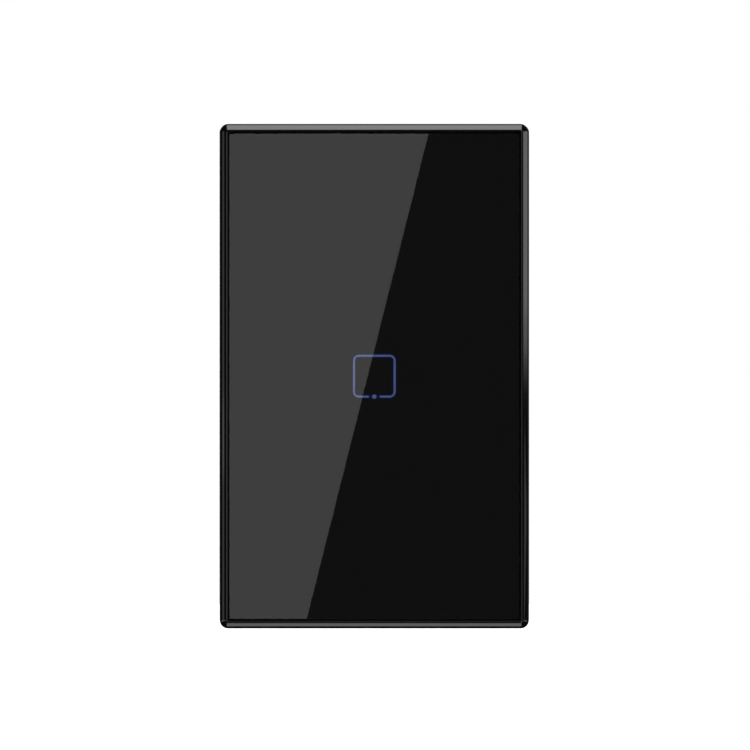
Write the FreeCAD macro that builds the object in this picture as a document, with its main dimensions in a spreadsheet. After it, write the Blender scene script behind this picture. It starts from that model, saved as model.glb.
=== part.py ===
import FreeCAD, Part

import math
import os
import re

import Sketcher
from FreeCAD import Placement, Rotation, Vector

# Wall touch switch for a one-gang wall box: a glass-fronted panel that snaps on a mounting plate,
# with the power unit and its screw terminals in a housing behind the plate.
# X runs to the right, Y into the wall, Z up. The origin is midway between the two wall box
# screws, on the plane of the wall. All sizes are millimetres.

SIZES = {
    # Front frame
    "panel_width": 73.6,
    "panel_height": 120.0,
    "panel_corner_radius": 1.8,
    "facet_run": 1.3,
    "facet_drop": 0.5,
    "facet_edge_radius": 0.3,
    "rim_width": 2.0,
    "rim_bevel": 0.35,
    "skirt_wall": 1.2,
    "wall_clearance": 0.3,
    # Glass and what is bonded behind it
    "glass_gap": 0.28,
    "glass_recess": 0.35,
    "glass_thickness": 2.5,
    "glass_corner_radius": 0.5,
    "glass_edge_bevel": 0.2,
    "mask_thickness": 0.1,
    "mask_margin": 0.6,
    "tape_thickness": 0.3,
    "tape_margin": 1.2,
    "tape_width": 5.0,
    # Key outline that glows through the mask
    "key_width": 10.5,
    "key_height": 10.3,
    "key_stroke": 0.6,
    "key_corner_radius": 1.5,
    "key_opening": 2.66,
    "key_dot_diameter": 1.15,
    # Carrier
    "carrier_thickness": 1.5,
    "carrier_gap": 0.3,
    "carrier_rib_width": 1.4,
    "carrier_rib_height": 2.6,
    "boss_height": 0.7,
    "boss_radius": 2.6,
    # Light guide, its shroud and the touch spring
    "shroud_width": 15.4,
    "shroud_gap": 0.3,
    "guide_overlap": 0.25,
    "guide_gap": 0.15,
    "guide_lift": 0.3,
    "dot_guide_radius": 0.75,
    "spring_radius": 2.6,
    "spring_wire": 0.5,
    "spring_turns": 2,
    "spring_cavity_gap": 0.4,
    "lamp_length": 1.6,
    "lamp_width": 0.8,
    "lamp_height": 0.6,
    "lamp_spacing": 3.6,
    "lamp_row_spacing": 5.4,
    # Touch board
    "touch_board_gap": 0.5,
    "touch_board_thickness": 1.2,
    "board_clearance": 1.35,
    "board_screw_side_inset": 7.4,
    "board_screw_end_inset": 9.6,
    "small_screw_radius": 0.95,
    "small_screw_head_radius": 1.9,
    "small_screw_head_height": 1.0,
    "small_screw_length": 3.0,
    "screw_head_edge_radius": 0.5,
    "cross_slot_width": 0.7,
    "cross_slot_length": 2.4,
    "cross_slot_depth": 0.5,
    "pilot_gap": 0.05,
    "through_gap": 0.3,
    "chip_length": 9.9,
    "chip_width": 3.9,
    "chip_height": 1.2,
    "chip_lift": 0.15,
    "chip_x": -9.0,
    "chip_z": -14.0,
    "lead_pitch": 1.27,
    "lead_width": 0.4,
    "lead_thickness": 0.2,
    "lead_reach": 1.05,
    "leads_per_side": 8,
    "radio_width": 16.0,
    "radio_height": 24.0,
    "radio_board_thickness": 0.8,
    "radio_x": 6.0,
    "radio_z": 13.0,
    "shield_width": 12.4,
    "shield_length": 14.6,
    "shield_height": 1.3,
    "shield_shift": 3.4,
    "shield_corner_radius": 0.4,
    "chip_part_length": 2.0,
    "chip_part_width": 1.25,
    "chip_part_height": 0.6,
    "chip_part_pitch": 2.6,
    "chip_part_column_pitch": 4.16,
    "chip_part_rows": 4,
    "chip_part_x": -13.0,
    "chip_part_z": 4.0,
    # Header between the two boards
    "header_x": 8.0,
    "header_shroud_gap": 1.76,
    "header_pitch": 2.54,
    "header_columns": 4,
    "header_strip_height": 2.5,
    "header_pin_width": 0.64,
    "header_pin_gap": 0.12,
    "header_pin_front": 0.5,
    "header_pin_reach": 7.6,
    "header_socket_gap": 0.3,
    # Snap fingers
    "finger_x": 19.0,
    "finger_end_inset": 5.6,
    "finger_width": 7.0,
    "finger_thickness": 1.3,
    "finger_barb": 0.5,
    "finger_barb_height": 1.2,
    "finger_barb_land": 0.1,
    "finger_window_gap": 0.5,
    "finger_catch_gap": 0.15,
    "finger_play": 0.3,
    # Mounting plate
    "plate_gap": 0.5,
    "plate_standoff": 2.0,
    "plate_thickness": 1.5,
    "plate_rim_width": 1.6,
    "plate_corner_radius": 3.0,
    "plate_window_width": 30.0,
    "plate_window_height": 42.0,
    "box_screw_spacing": 83.3,
    "box_slot_width": 4.2,
    "box_slot_length": 7.2,
    "box_pad_radius": 6.5,
    "plate_rib_width": 1.4,
    "plate_rib_x": 28.5,
    "plate_rib_z": 36.0,
    # Rear housing
    "housing_width": 45.0,
    "housing_height": 66.0,
    "housing_depth": 24.0,
    "housing_wall": 1.8,
    "housing_corner_radius": 2.5,
    "housing_edge_bevel": 0.8,
    "post_size": 6.0,
    "housing_screw_inset": 2.8,
    "housing_screw_radius": 1.45,
    "housing_screw_head_radius": 2.7,
    "housing_screw_head_height": 1.0,
    "housing_screw_length": 6.5,
    "ledge_width": 1.6,
    "ledge_length": 4.0,
    "ledge_low_z": -6.0,
    "ledge_high_z": 19.0,
    "vent_width": 2.0,
    "vent_length": 9.0,
    "vent_pitch": 4.0,
    "vent_count": 6,
    "vent_low_z": 11.0,
    "vent_high_z": 23.0,
    "label_width": 34.0,
    "label_height": 20.0,
    "label_z": -6.0,
    "label_depth": 0.3,
    "label_corner_radius": 1.5,
    # Barrier between touch board and power board
    "barrier_gap": 0.3,
    "barrier_thickness": 0.8,
    "barrier_leg_size": 3.0,
    # Power board
    "power_board_front": 4.0,
    "power_board_thickness": 1.6,
    "power_board_gap": 0.3,
    "pin_hole_gap": 0.2,
    "solder_reach": 1.4,
    # Relay
    "relay_length": 19.0,
    "relay_width": 15.4,
    "relay_side_gap": 2.2,
    "relay_terminal_gap": 1.1,
    "relay_back_gap": 1.3,
    "relay_cover_wall": 0.8,
    "relay_base_gap": 0.2,
    "relay_base_height": 1.8,
    "relay_cover_lift": 0.3,
    "relay_cover_radius": 0.5,
    "yoke_thickness": 1.0,
    "yoke_width": 9.0,
    "yoke_side_gap": 0.5,
    "yoke_foot_end": 0.8,
    "hinge_gap": 0.3,
    "core_shift": -1.5,
    "core_radius": 1.75,
    "core_gap": 0.05,
    "pole_radius": 2.8,
    "pole_height": 0.6,
    "bobbin_flange": 0.8,
    "bobbin_flange_width": 9.2,
    "bobbin_wall": 0.6,
    "bobbin_gap": 0.2,
    "coil_radius": 4.4,
    "coil_gap": 0.1,
    "armature_thickness": 1.0,
    "armature_length": 9.6,
    "armature_room": 1.4,
    "air_gap": 0.7,
    "blade_thickness": 0.3,
    "blade_width": 4.4,
    "contact_inset": 1.9,
    "contact_radius": 1.3,
    "contact_height": 1.0,
    "contact_gap": 1.0,
    "contact_strip_thickness": 0.6,
    "contact_strip_width": 3.4,
    "contact_side_gap": 0.4,
    "relay_pin_width": 1.0,
    "low_contact_pin": 2.0,
    "high_contact_pin": 4.0,
    # Transformer
    "core_width": 13.0,
    "core_depth": 6.0,
    "core_height": 11.0,
    "core_lift": 2.4,
    "core_leg": 1.6,
    "core_yoke": 1.3,
    "transformer_side_gap": 2.2,
    "transformer_lift": 1.0,
    "former_lead_spacing": 6.0,
    "winding_wall": 2.4,
    "former_wall": 0.6,
    "former_gap": 0.2,
    "winding_corner_radius": 1.0,
    # Other parts of the power supply
    "bulk_radius": 4.0,
    "bulk_height": 12.0,
    "bulk_edge_radius": 0.5,
    "bulk_side_gap": 3.2,
    "bulk_z": 4.0,
    "bulk_pitch": 8.8,
    "output_radius": 3.15,
    "output_height": 9.0,
    "output_side_gap": 3.05,
    "output_gap": 0.6,
    "film_length": 13.0,
    "film_width": 6.0,
    "film_height": 12.0,
    "film_edge_radius": 0.4,
    "film_side_gap": 3.0,
    "film_z": 13.5,
    "varistor_radius": 5.0,
    "varistor_thickness": 3.6,
    "varistor_lift": 1.6,
    "varistor_edge_radius": 1.0,
    "varistor_x": 3.0,
    "varistor_top_gap": 7.9,
    "fuse_radius": 1.8,
    "fuse_length": 9.0,
    "fuse_x": 11.5,
    "fuse_top_gap": 8.9,
    "rectifier_width": 4.7,
    "rectifier_length": 6.0,
    "rectifier_height": 2.5,
    "rectifier_x": 1.5,
    "rectifier_gap": 4.2,
    "supply_chip_width": 6.2,
    "supply_chip_length": 8.6,
    "supply_chip_height": 3.3,
    "supply_chip_x": 9.4,
    "supply_chip_gap": 2.4,
    "lead_radius": 0.35,
    "lead_spacing": 5.0,
    "short_lead_spacing": 3.5,
    "film_lead_spacing": 10.0,
    # Terminals
    "terminal_pitch": 8.6,
    "terminal_count": 3,
    "terminal_end_wall": 1.0,
    "terminal_depth": 13.0,
    "terminal_floor": 1.2,
    "terminal_fit": 0.3,
    "wire_entry_width": 5.0,
    "wire_entry_height": 4.7,
    "wire_entry_depth": 4.8,
    "wire_space": 4.3,
    "entry_drop": 0.2,
    "cage_length": 5.2,
    "cage_width": 6.3,
    "cage_wall": 0.9,
    "cage_floor": 1.0,
    "cage_head": 2.0,
    "cage_gap": 0.3,
    "cage_travel": 2.5,
    "bar_thickness": 1.0,
    "bar_width": 3.0,
    "terminal_screw_radius": 1.45,
    "terminal_screw_gap": 0.05,
    "terminal_head_radius": 2.5,
    "terminal_head_height": 2.0,
    "terminal_slot_width": 0.8,
    "terminal_slot_depth": 1.0,
    "driver_well_radius": 2.1,
    # How far a cut runs past the faces that it opens
    "overcut": 1.0,
}

# Planes and edges that follow from the sizes, each named where the pieces meet
DERIVED = {
    # Levels along Y, from the wall towards the front
    "skirt_back": "-wall_clearance",
    "plate_back": "-plate_standoff",
    "plate_front": "plate_back - plate_thickness",
    "touch_board_back": "plate_front - board_clearance",
    "touch_board_front": "touch_board_back - touch_board_thickness",
    "carrier_back": "touch_board_front - boss_height",
    "carrier_front": "carrier_back - carrier_thickness",
    "mask_back": "carrier_front - tape_thickness",
    "glass_back": "mask_back - mask_thickness",
    "glass_front": "glass_back - glass_thickness",
    "rim_front": "glass_front - glass_recess",
    "finger_back": "plate_back + finger_play + finger_barb_height",
    # Edges of the front panel and of the plate
    "opening_right": "panel_width / 2 - rim_width",
    "opening_top": "panel_height / 2 - rim_width",
    "pocket_right": "panel_width / 2 - skirt_wall",
    "pocket_top": "panel_height / 2 - skirt_wall",
    "glass_right": "opening_right - glass_gap",
    "glass_top": "opening_top - glass_gap",
    "carrier_right": "pocket_right - carrier_gap",
    "carrier_top": "pocket_top - carrier_gap",
    "plate_right": "pocket_right - plate_gap",
    "plate_top": "pocket_top - plate_gap",
    "touch_board_right": "carrier_right - carrier_rib_width - touch_board_gap",
    "touch_board_top": "carrier_top - carrier_rib_width - touch_board_gap",
    "board_screw_x": "touch_board_right - board_screw_side_inset",
    "board_screw_z": "touch_board_top - board_screw_end_inset",
    "finger_z": "carrier_top - carrier_rib_width - finger_end_inset",
    "ring_middle_x": "(key_width - key_stroke) / 2",
    "ring_middle_z": "(key_height - key_stroke) / 2",
    # Inside of the housing
    "power_board_back": "power_board_front + power_board_thickness",
    "housing_inner_x": "housing_width / 2 - housing_wall",
    "housing_inner_z": "housing_height / 2 - housing_wall",
    "housing_inner_back": "housing_depth - housing_wall",
    "housing_screw_x": "housing_inner_x - housing_screw_inset",
    "housing_screw_z": "housing_inner_z - housing_screw_inset",
    "post_inner_x": "housing_inner_x - post_size",
    "post_inner_z": "housing_inner_z - post_size",
    "barrier_front": "plate_back + barrier_gap",
    "barrier_back": "barrier_front + barrier_thickness",
    "header_half_width": "header_pitch * header_columns / 2",
    "header_z": "-(shroud_width / 2 + header_shroud_gap + header_pitch)",
    "socket_front": "touch_board_back + header_strip_height + header_socket_gap",
    # Terminal levels above the power board
    "chamber_width": "cage_width + 2 * cage_gap",
    "chamber_length": "cage_length + 2 * cage_gap",
    "outer_terminal_x": "terminal_pitch * (terminal_count - 1) / 2",
    "terminal_half_width": "outer_terminal_x + chamber_width / 2 + terminal_end_wall",
    "terminal_low_z": "-housing_height / 2",
    "terminal_high_z": "terminal_low_z + terminal_depth",
    "chamber_low_z": "terminal_low_z + wire_entry_depth",
    "chamber_high_z": "chamber_low_z + chamber_length",
    "chamber_z": "chamber_low_z + chamber_length / 2",
    "chamber_bottom": "power_board_back + terminal_floor",
    "cage_bottom": "chamber_bottom + cage_gap",
    "wire_bottom": "cage_bottom + cage_floor",
    "bar_bottom": "wire_bottom + wire_space",
    "bar_top": "bar_bottom + bar_thickness",
    "cage_head_bottom": "bar_top + cage_gap",
    "cage_head_top": "cage_head_bottom + cage_head",
    "screw_head_bottom": "cage_head_top + cage_travel + cage_gap",
    "screw_head_top": "screw_head_bottom + terminal_head_height",
    "chamber_top": "screw_head_top + cage_gap",
    # Relay, which stands above the terminals with its cover just clear of the housing's back
    "relay_x": "relay_side_gap + relay_length / 2 - housing_inner_x",
    "relay_z": "terminal_high_z + relay_terminal_gap + relay_width / 2",
    "relay_top": "housing_inner_back - relay_back_gap",
    "relay_base_top": "power_board_back + relay_base_height",
    "yoke_foot_top": "relay_base_top + yoke_thickness",
    "coil_bottom": "yoke_foot_top + bobbin_flange + coil_gap",
    "armature_top": "relay_top - relay_cover_wall - armature_room",
    "armature_bottom": "armature_top - armature_thickness",
    "pole_top": "armature_bottom - air_gap",
    "bobbin_top": "pole_top - pole_height",
    "coil_top": "bobbin_top - bobbin_flange - coil_gap",
    "yoke_top": "armature_bottom - hinge_gap",
    "nose_middle": "yoke_top - yoke_thickness / 2",
    "yoke_outer_x": "relay_x - relay_length / 2 + relay_cover_wall + yoke_side_gap",
    "strip_outer_x": "relay_x + relay_length / 2 - relay_cover_wall - contact_side_gap",
    "coil_x": "relay_x + core_shift",
    "contact_x": "strip_outer_x - contact_inset",
    "moving_contact_bottom": "armature_top - contact_height",
    "fixed_contact_top": "moving_contact_bottom - contact_gap",
    "fixed_contact_bottom": "fixed_contact_top - contact_height",
    # Transformer and the other parts of the power supply
    "former_reach": "core_depth / 2 + former_gap + winding_wall",
    "former_lead_z": "former_reach - winding_wall / 2",
    "transformer_x": "housing_inner_x - transformer_side_gap - core_width / 2",
    "transformer_z": "header_z + transformer_lift",
    "transformer_bottom": "power_board_back + core_lift",
    "transformer_top": "transformer_bottom + core_height",
    "window_bottom": "transformer_bottom + core_yoke",
    "window_top": "transformer_top - core_yoke",
    "window_width": "(core_width - 4 * core_leg) / 2",
    "bulk_x": "bulk_side_gap + bulk_radius - housing_inner_x",
    "film_x": "film_side_gap + film_length / 2 - housing_inner_x",
    "output_x": "housing_inner_x - output_side_gap - output_radius",
    "fuse_z": "housing_inner_z - fuse_top_gap - fuse_radius",
    "varistor_z": "housing_inner_z - varistor_top_gap - varistor_thickness / 2",
    "supply_chip_high_z": "fuse_z - fuse_radius - supply_chip_gap",
    "supply_chip_z": "supply_chip_high_z - supply_chip_length / 2",
    "output_z": "supply_chip_high_z - supply_chip_length - output_gap - output_radius",
    "rectifier_high_z": "varistor_z - varistor_thickness / 2 - rectifier_gap",
    "rectifier_z": "rectifier_high_z - rectifier_length / 2",
}

document = FreeCAD.newDocument("touch_switch")
sheet = document.addObject("Spreadsheet::Sheet", "sizes")
pieces = []


def fill_sheet():
    """Write each size into a cell of its own, with its name as the cell's alias."""
    for row, (name, amount) in enumerate(SIZES.items(), start=1):
        sheet.set(f"A{row}", name)
        sheet.set(f"B{row}", str(amount))
        sheet.setAlias(f"B{row}", name)
    document.recompute()


def on_sheet(text):
    """Turn a formula in size names into one that reads the sheet."""

    def replace(match):
        word = match.group(0)
        if word in SIZES:
            return f"sizes.{word}"
        if word in DERIVED:
            return f"({on_sheet(DERIVED[word])})"
        return word

    return re.sub(r"[a-z_]{2,}", replace, str(text))


def bind(item, prop, text):
    """Tie one property of a document object to the sheet."""
    item.setExpression(prop, on_sheet(text))


def keep(item, label):
    """Name a finished piece, which is written to a file of that name."""
    item.Label = label
    pieces.append(item)
    return item


def block(x, y, z, name="Block"):
    """A box between two formulas on each axis."""
    item = document.addObject("Part::Box", name)
    sides = (("Length", "x", x), ("Width", "y", y), ("Height", "z", z))
    for prop, axis, (low, high) in sides:
        bind(item, prop, f"({high}) - ({low})")
        bind(item, f"Placement.Base.{axis}", low)
    return item


def centred(middle, width):
    """The two ends of a span of some width about its middle."""
    return f"{middle} - ({width}) / 2", f"{middle} + ({width}) / 2"


TURNS = {
    "x": Rotation(Vector(0, 1, 0), 90),
    "y": Rotation(Vector(1, 0, 0), -90),
    "z": Rotation(),
}


def rod(radius, axis, span, place, name="Rod"):
    """A cylinder along an axis, from one formula to another, at a place on the other two axes."""
    item = document.addObject("Part::Cylinder", name)
    item.Placement = Placement(Vector(), TURNS[axis])
    bind(item, "Radius", radius)
    bind(item, "Height", f"({span[1]}) - ({span[0]})")
    bind(item, f"Placement.Base.{axis}", span[0])
    others = [letter for letter in "xyz" if letter != axis]
    for letter, where in zip(others, place):
        bind(item, f"Placement.Base.{letter}", where)
    return item


def joined(items, name="Joined"):
    """One solid out of several that touch."""
    item = document.addObject("Part::MultiFuse", name)
    item.Shapes = items
    item.Refine = True
    return item


def grouped(items, name="Group"):
    """Several separate solids as one piece."""
    item = document.addObject("Part::Compound", name)
    item.Links = items
    return item


def cut_away(base, tools, name="Cut"):
    """A solid with other solids taken out of it."""
    item = document.addObject("Part::Cut", name)
    item.Base = base
    item.Tool = tools[0] if len(tools) == 1 else grouped(tools)
    return item


def rounded(base, radius, picks, name="Rounded"):
    """A solid with the picked edges rounded to a formula's radius."""
    document.recompute()
    item = document.addObject("Part::Fillet", name)
    item.Base = base
    amount = sheet.get(radius)
    item.Edges = [(number, amount, amount) for number in edge_numbers(base.Shape, picks)]
    return item


def edge_numbers(shape, picks):
    """Numbers of the edges for which the test holds, counted from one."""
    return [number for number, edge in enumerate(shape.Edges, start=1) if picks(edge, shape)]


def runs_along(edge, axis):
    """Whether a straight edge runs along an axis."""
    if not isinstance(edge.Curve, Part.Line):
        return False
    return abs(getattr(edge.Curve.Direction, axis)) > 0.999


def outer_uprights(edge, shape):
    """The four outermost edges that run along Y."""
    if not runs_along(edge, "y"):
        return False
    middle = edge.CenterOfMass
    box = shape.BoundBox
    return abs(abs(middle.x - box.Center.x) - box.XLength / 2) < 0.01


def on_front(edge, shape):
    """Edges that lie wholly on the foremost plane."""
    return edge.BoundBox.YMax < shape.BoundBox.YMin + 0.001


def on_back(edge, shape):
    """Edges that lie wholly on the rearmost plane."""
    return edge.BoundBox.YMin > shape.BoundBox.YMax - 0.001


def new_body(label):
    """An empty body for a piece that is built from sketches."""
    body = document.addObject("PartDesign::Body", label.title().replace("_", ""))
    return keep(body, label)


def sketch_in(body, plane, role="XZ_Plane"):
    """A sketch across one of the body's own origin planes, shifted along it to a formula."""
    sketch = body.newObject("Sketcher::SketchObject", "Sketch")
    base = [item for item in body.Origin.OriginFeatures if item.Role == role][0]
    sketch.AttachmentSupport = [(base, "")]
    sketch.MapMode = "FlatFace"
    if plane is not None:
        bind(sketch, "AttachmentOffset.Base.z", f"-({plane})" if role == "XZ_Plane" else plane)
    return sketch


def hold(sketch, kind, line, end, text):
    """Hold one end of a sketch line at a distance from the origin."""
    number = sketch.addConstraint(Sketcher.Constraint(kind, -1, 1, line, end, 1.0))
    bind(sketch, f"Constraints[{number}]", text)


def add_rectangle(sketch, across, up):
    """A rectangle whose sides stand at four formulas."""
    first = sketch.GeometryCount
    corners = [Vector(0, 0, 0), Vector(1, 0, 0), Vector(1, 1, 0), Vector(0, 1, 0)]
    lines = [Part.LineSegment(corners[i], corners[(i + 1) % 4]) for i in range(4)]
    sketch.addGeometry(lines, False)
    for i in range(4):
        sketch.addConstraint(Sketcher.Constraint("Coincident", first + i, 2, first + (i + 1) % 4, 1))
        level = "Horizontal" if i % 2 == 0 else "Vertical"
        sketch.addConstraint(Sketcher.Constraint(level, first + i))
    hold(sketch, "DistanceX", first, 1, across[0])
    hold(sketch, "DistanceX", first + 1, 1, across[1])
    hold(sketch, "DistanceY", first, 1, up[0])
    hold(sketch, "DistanceY", first + 2, 1, up[1])


def add_circle(sketch, across, up, radius):
    """A circle with its middle at two formulas."""
    number = sketch.addGeometry(Part.Circle(Vector(0, 0, 0), Vector(0, 0, 1), 1.0), False)
    hold(sketch, "DistanceX", number, 3, across)
    hold(sketch, "DistanceY", number, 3, up)
    size = sketch.addConstraint(Sketcher.Constraint("Radius", number, 1.0))
    bind(sketch, f"Constraints[{size}]", radius)


def pad(body, sketch, length):
    """Raise a sketch towards the front, which is its own normal."""
    feature = body.newObject("PartDesign::Pad", "Pad")
    feature.Profile = sketch
    bind(feature, "Length", length)
    return feature


def pocket(body, sketch, length):
    """Cut a sketch towards the back, and check that it took something away."""
    document.recompute()
    before = body.Shape.Volume
    feature = body.newObject("PartDesign::Pocket", "Pocket")
    feature.Profile = sketch
    bind(feature, "Length", length)
    document.recompute()
    if not feature.Shape.Volume < before:
        raise RuntimeError(f"{body.Label}: a pocket cuts nothing")
    return feature


def slab(body, across, up, deep):
    """Pad a rectangle from one plane back to another."""
    sketch = sketch_in(body, deep[1])
    add_rectangle(sketch, across, up)
    return pad(body, sketch, f"({deep[1]}) - ({deep[0]})")


def opening(body, across, up, deep):
    """Cut a rectangular opening from one plane back to another."""
    sketch = sketch_in(body, deep[0])
    add_rectangle(sketch, across, up)
    return pocket(body, sketch, f"({deep[1]}) - ({deep[0]})")


def dress_edges(body, base, kind, picks, **amounts):
    """Fillet or chamfer the picked edges of a body's feature."""
    document.recompute()
    feature = body.newObject(f"PartDesign::{kind}", kind)
    feature.Base = (base, [f"Edge{number}" for number in edge_numbers(base.Shape, picks)])
    if len(amounts) > 1:
        feature.ChamferType = "Two distances"
    for prop, amount in amounts.items():
        bind(feature, prop, amount)
    return feature


def both_ways(text):
    """The span from minus a formula to plus the same formula."""
    return f"-({text})", text


def in_order(near, far, side):
    """The span between two formulas on one side of the middle, with the lower one first."""
    return (near, far) if side > 0 else (far, near)


def corner_signs():
    """Signs of X and Z for the four corners."""
    return [(x, z) for x in (-1, 1) for z in (-1, 1)]


# Front frame: a metal trim whose rim has a slanted facet outside and a small bevel inside
def front_frame():
    body = new_body("front_frame")
    solid = slab(
        body,
        both_ways("panel_width / 2"),
        both_ways("panel_height / 2"),
        ("rim_front", "skirt_back"),
    )
    solid = dress_edges(body, solid, "Fillet", outer_uprights, Radius="panel_corner_radius")
    solid = dress_edges(body, solid, "Chamfer", on_front, Size="facet_drop", Size2="facet_run")
    document.recompute()

    def facet_foot(edge, shape):
        """Where the facet meets the upright side of the frame."""
        box = edge.BoundBox
        level = shape.BoundBox.YMin + sheet.get("facet_drop")
        return abs(box.YMin - level) < 0.001 and abs(box.YMax - level) < 0.001

    dress_edges(body, solid, "Fillet", facet_foot, Radius="facet_edge_radius")
    solid = opening(
        body, both_ways("opening_right"), both_ways("opening_top"), ("rim_front", "skirt_back")
    )

    def inner_front(edge, shape):
        """The front edges of the opening, not those of the rim's outer facet."""
        box = edge.BoundBox
        reach = shape.BoundBox.XMax - sheet.get("rim_width") + 0.01
        height = shape.BoundBox.ZMax - sheet.get("rim_width") + 0.01
        within = box.XMax < reach and box.XMin > -reach and box.ZMax < height and box.ZMin > -height
        return on_front(edge, shape) and within

    dress_edges(body, solid, "Chamfer", inner_front, Size="rim_bevel")
    opening(
        body, both_ways("pocket_right"), both_ways("pocket_top"), ("carrier_front", "skirt_back")
    )


# Touch glass: a tempered pane with ground front edges
def touch_glass():
    body = new_body("touch_glass")
    solid = slab(
        body, both_ways("glass_right"), both_ways("glass_top"), ("glass_front", "glass_back")
    )
    solid = dress_edges(body, solid, "Fillet", outer_uprights, Radius="glass_corner_radius")
    dress_edges(body, solid, "Chamfer", on_front, Size="glass_edge_bevel")


def key_ring(grow, deep):
    """The rounded square outline of the key, grown all round by a formula, with its opening below."""
    outer = block(
        centred("0", f"key_width + 2 * ({grow})"), deep, centred("0", f"key_height + 2 * ({grow})")
    )
    outer = rounded(outer, "key_corner_radius", outer_uprights)
    inner_width = f"key_width - 2 * key_stroke - 2 * ({grow})"
    inner_height = f"key_height - 2 * key_stroke - 2 * ({grow})"
    inner = block(centred("0", inner_width), deep, centred("0", inner_height))
    gap = block(
        centred("0", f"key_opening - 2 * ({grow})"),
        deep,
        (f"-key_height / 2 - 2 * ({grow}) - key_stroke", "0"),
    )
    return cut_away(outer, [inner, gap])


def key_dot(radius, deep):
    """The round dot in the opening of the key outline."""
    return rod(radius, "y", deep, ("0", "-ring_middle_z"))


# Key mask: black film on the back of the glass, clear only along the key outline and its dot
def key_mask():
    film = block(
        both_ways("glass_right - mask_margin"),
        ("glass_back", "mask_back"),
        both_ways("glass_top - mask_margin"),
    )
    deep = ("glass_back - overcut", "mask_back + overcut")
    clear = [key_ring("0", deep), key_dot("key_dot_diameter / 2", deep)]
    return keep(cut_away(film, clear), "key_mask")


# Glass tape: a frame of double-sided tape that bonds the masked glass to the carrier
def glass_tape():
    deep = ("mask_back", "carrier_front")
    outer_x = "glass_right - tape_margin"
    outer_z = "glass_top - tape_margin"
    outer = block(both_ways(outer_x), deep, both_ways(outer_z))
    inner = block(
        both_ways(f"{outer_x} - tape_width"),
        ("mask_back - overcut", "carrier_front + overcut"),
        both_ways(f"{outer_z} - tape_width"),
    )
    keep(cut_away(outer, [inner]), "glass_tape")


def board_screw_places():
    """The four places where the touch board is screwed to the carrier."""
    return [(f"{x} * board_screw_x", f"{z} * board_screw_z") for x, z in corner_signs()]


# Panel carrier: black moulded tray behind the glass, with a rib round its edge and four bosses
def panel_carrier():
    body = new_body("panel_carrier")
    rib_back = "carrier_back + carrier_rib_height"
    slab(body, both_ways("carrier_right"), both_ways("carrier_top"), ("carrier_front", rib_back))
    opening(
        body,
        both_ways("carrier_right - carrier_rib_width"),
        both_ways("carrier_top - carrier_rib_width"),
        ("carrier_back", rib_back),
    )
    half = "shroud_width / 2 + shroud_gap"
    opening(body, both_ways(half), both_ways(half), ("carrier_front", "carrier_back"))
    bosses = sketch_in(body, "touch_board_front")
    for place in board_screw_places():
        add_circle(bosses, place[0], place[1], "boss_radius")
    pad(body, bosses, "boss_height")
    pilots = sketch_in(body, "carrier_front")
    for place in board_screw_places():
        add_circle(pilots, place[0], place[1], "small_screw_radius + pilot_gap")
    pocket(body, pilots, "carrier_thickness + boss_height")


# Snap fingers: four hooks behind the carrier that catch behind the mounting plate
def snap_fingers():
    fingers = []
    for side, end in corner_signs():
        across = centred(f"{side} * finger_x", "finger_width")
        middle = f"{end} * finger_z"
        shank = block(
            across, ("carrier_back", "finger_back"), centred(middle, "finger_thickness")
        )
        barb_z = f"{end} * (finger_z + finger_thickness / 2 + finger_barb / 2)"
        barb = block(
            across,
            ("finger_back - finger_barb_height", "finger_back"),
            centred(barb_z, "finger_barb"),
        )
        hook = joined([shank, barb])

        def barb_edge(edge, shape, end=end):
            """The rear outer edge of the barb, eased so that the hook rides into its window."""
            box = shape.BoundBox
            level = box.ZMax if end > 0 else box.ZMin
            outermost = abs(edge.BoundBox.ZMin - level) + abs(edge.BoundBox.ZMax - level) < 0.01
            return runs_along(edge, "x") and outermost and edge.BoundBox.YMin > box.YMax - 0.01

        document.recompute()
        eased = document.addObject("Part::Chamfer", "Eased")
        eased.Base = hook
        amount = sheet.get("finger_barb") - sheet.get("finger_barb_land")
        eased.Edges = [(n, amount, amount) for n in edge_numbers(hook.Shape, barb_edge)]
        fingers.append(eased)
    keep(grouped(fingers), "snap_fingers")


# Light shroud: keeps the ring's light, the dot's light and the touch spring apart
def light_shroud():
    deep = ("mask_back", "touch_board_front")
    through = ("mask_back - overcut", "touch_board_front + overcut")
    shell = block(centred("0", "shroud_width"), deep, centred("0", "shroud_width"))
    shell = rounded(shell, "glass_corner_radius", outer_uprights)
    ring = key_ring("guide_overlap + guide_gap", through)
    dot = key_dot("dot_guide_radius + guide_gap", through)
    well = rod(
        "spring_radius + spring_wire / 2 + spring_cavity_gap", "y", through, ("0", "0")
    )
    lamps = lamp_blocks("guide_gap", "lamp_height + guide_lift")
    lamp_room = status_lamp("guide_gap", "lamp_height + guide_lift")
    keep(cut_away(shell, [ring, dot, well] + lamps + [lamp_room]), "light_shroud")


def lamp_blocks(grow, height):
    """Eight lamps on the touch board, two under each side of the key outline."""
    deep = (f"touch_board_front - ({height})", "touch_board_front")
    long_side = f"lamp_length + 2 * ({grow})"
    short_side = f"lamp_width + 2 * ({grow})"
    lamps = []
    for side in (-1, 1):
        for step in (-1, 1):
            beside = centred(f"{side} * ring_middle_x", short_side)
            lamps.append(block(beside, deep, centred(f"{step} * lamp_spacing / 2", long_side)))
            level = centred(f"{side} * ring_middle_z", short_side)
            along = centred(f"{step} * lamp_row_spacing / 2", long_side)
            lamps.append(block(along, deep, level))
    return lamps


def status_lamp(grow, height):
    """The lamp under the dot."""
    deep = (f"touch_board_front - ({height})", "touch_board_front")
    side = f"lamp_width + 2 * ({grow})"
    return block(centred("0", side), deep, centred("-ring_middle_z", side))


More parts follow.
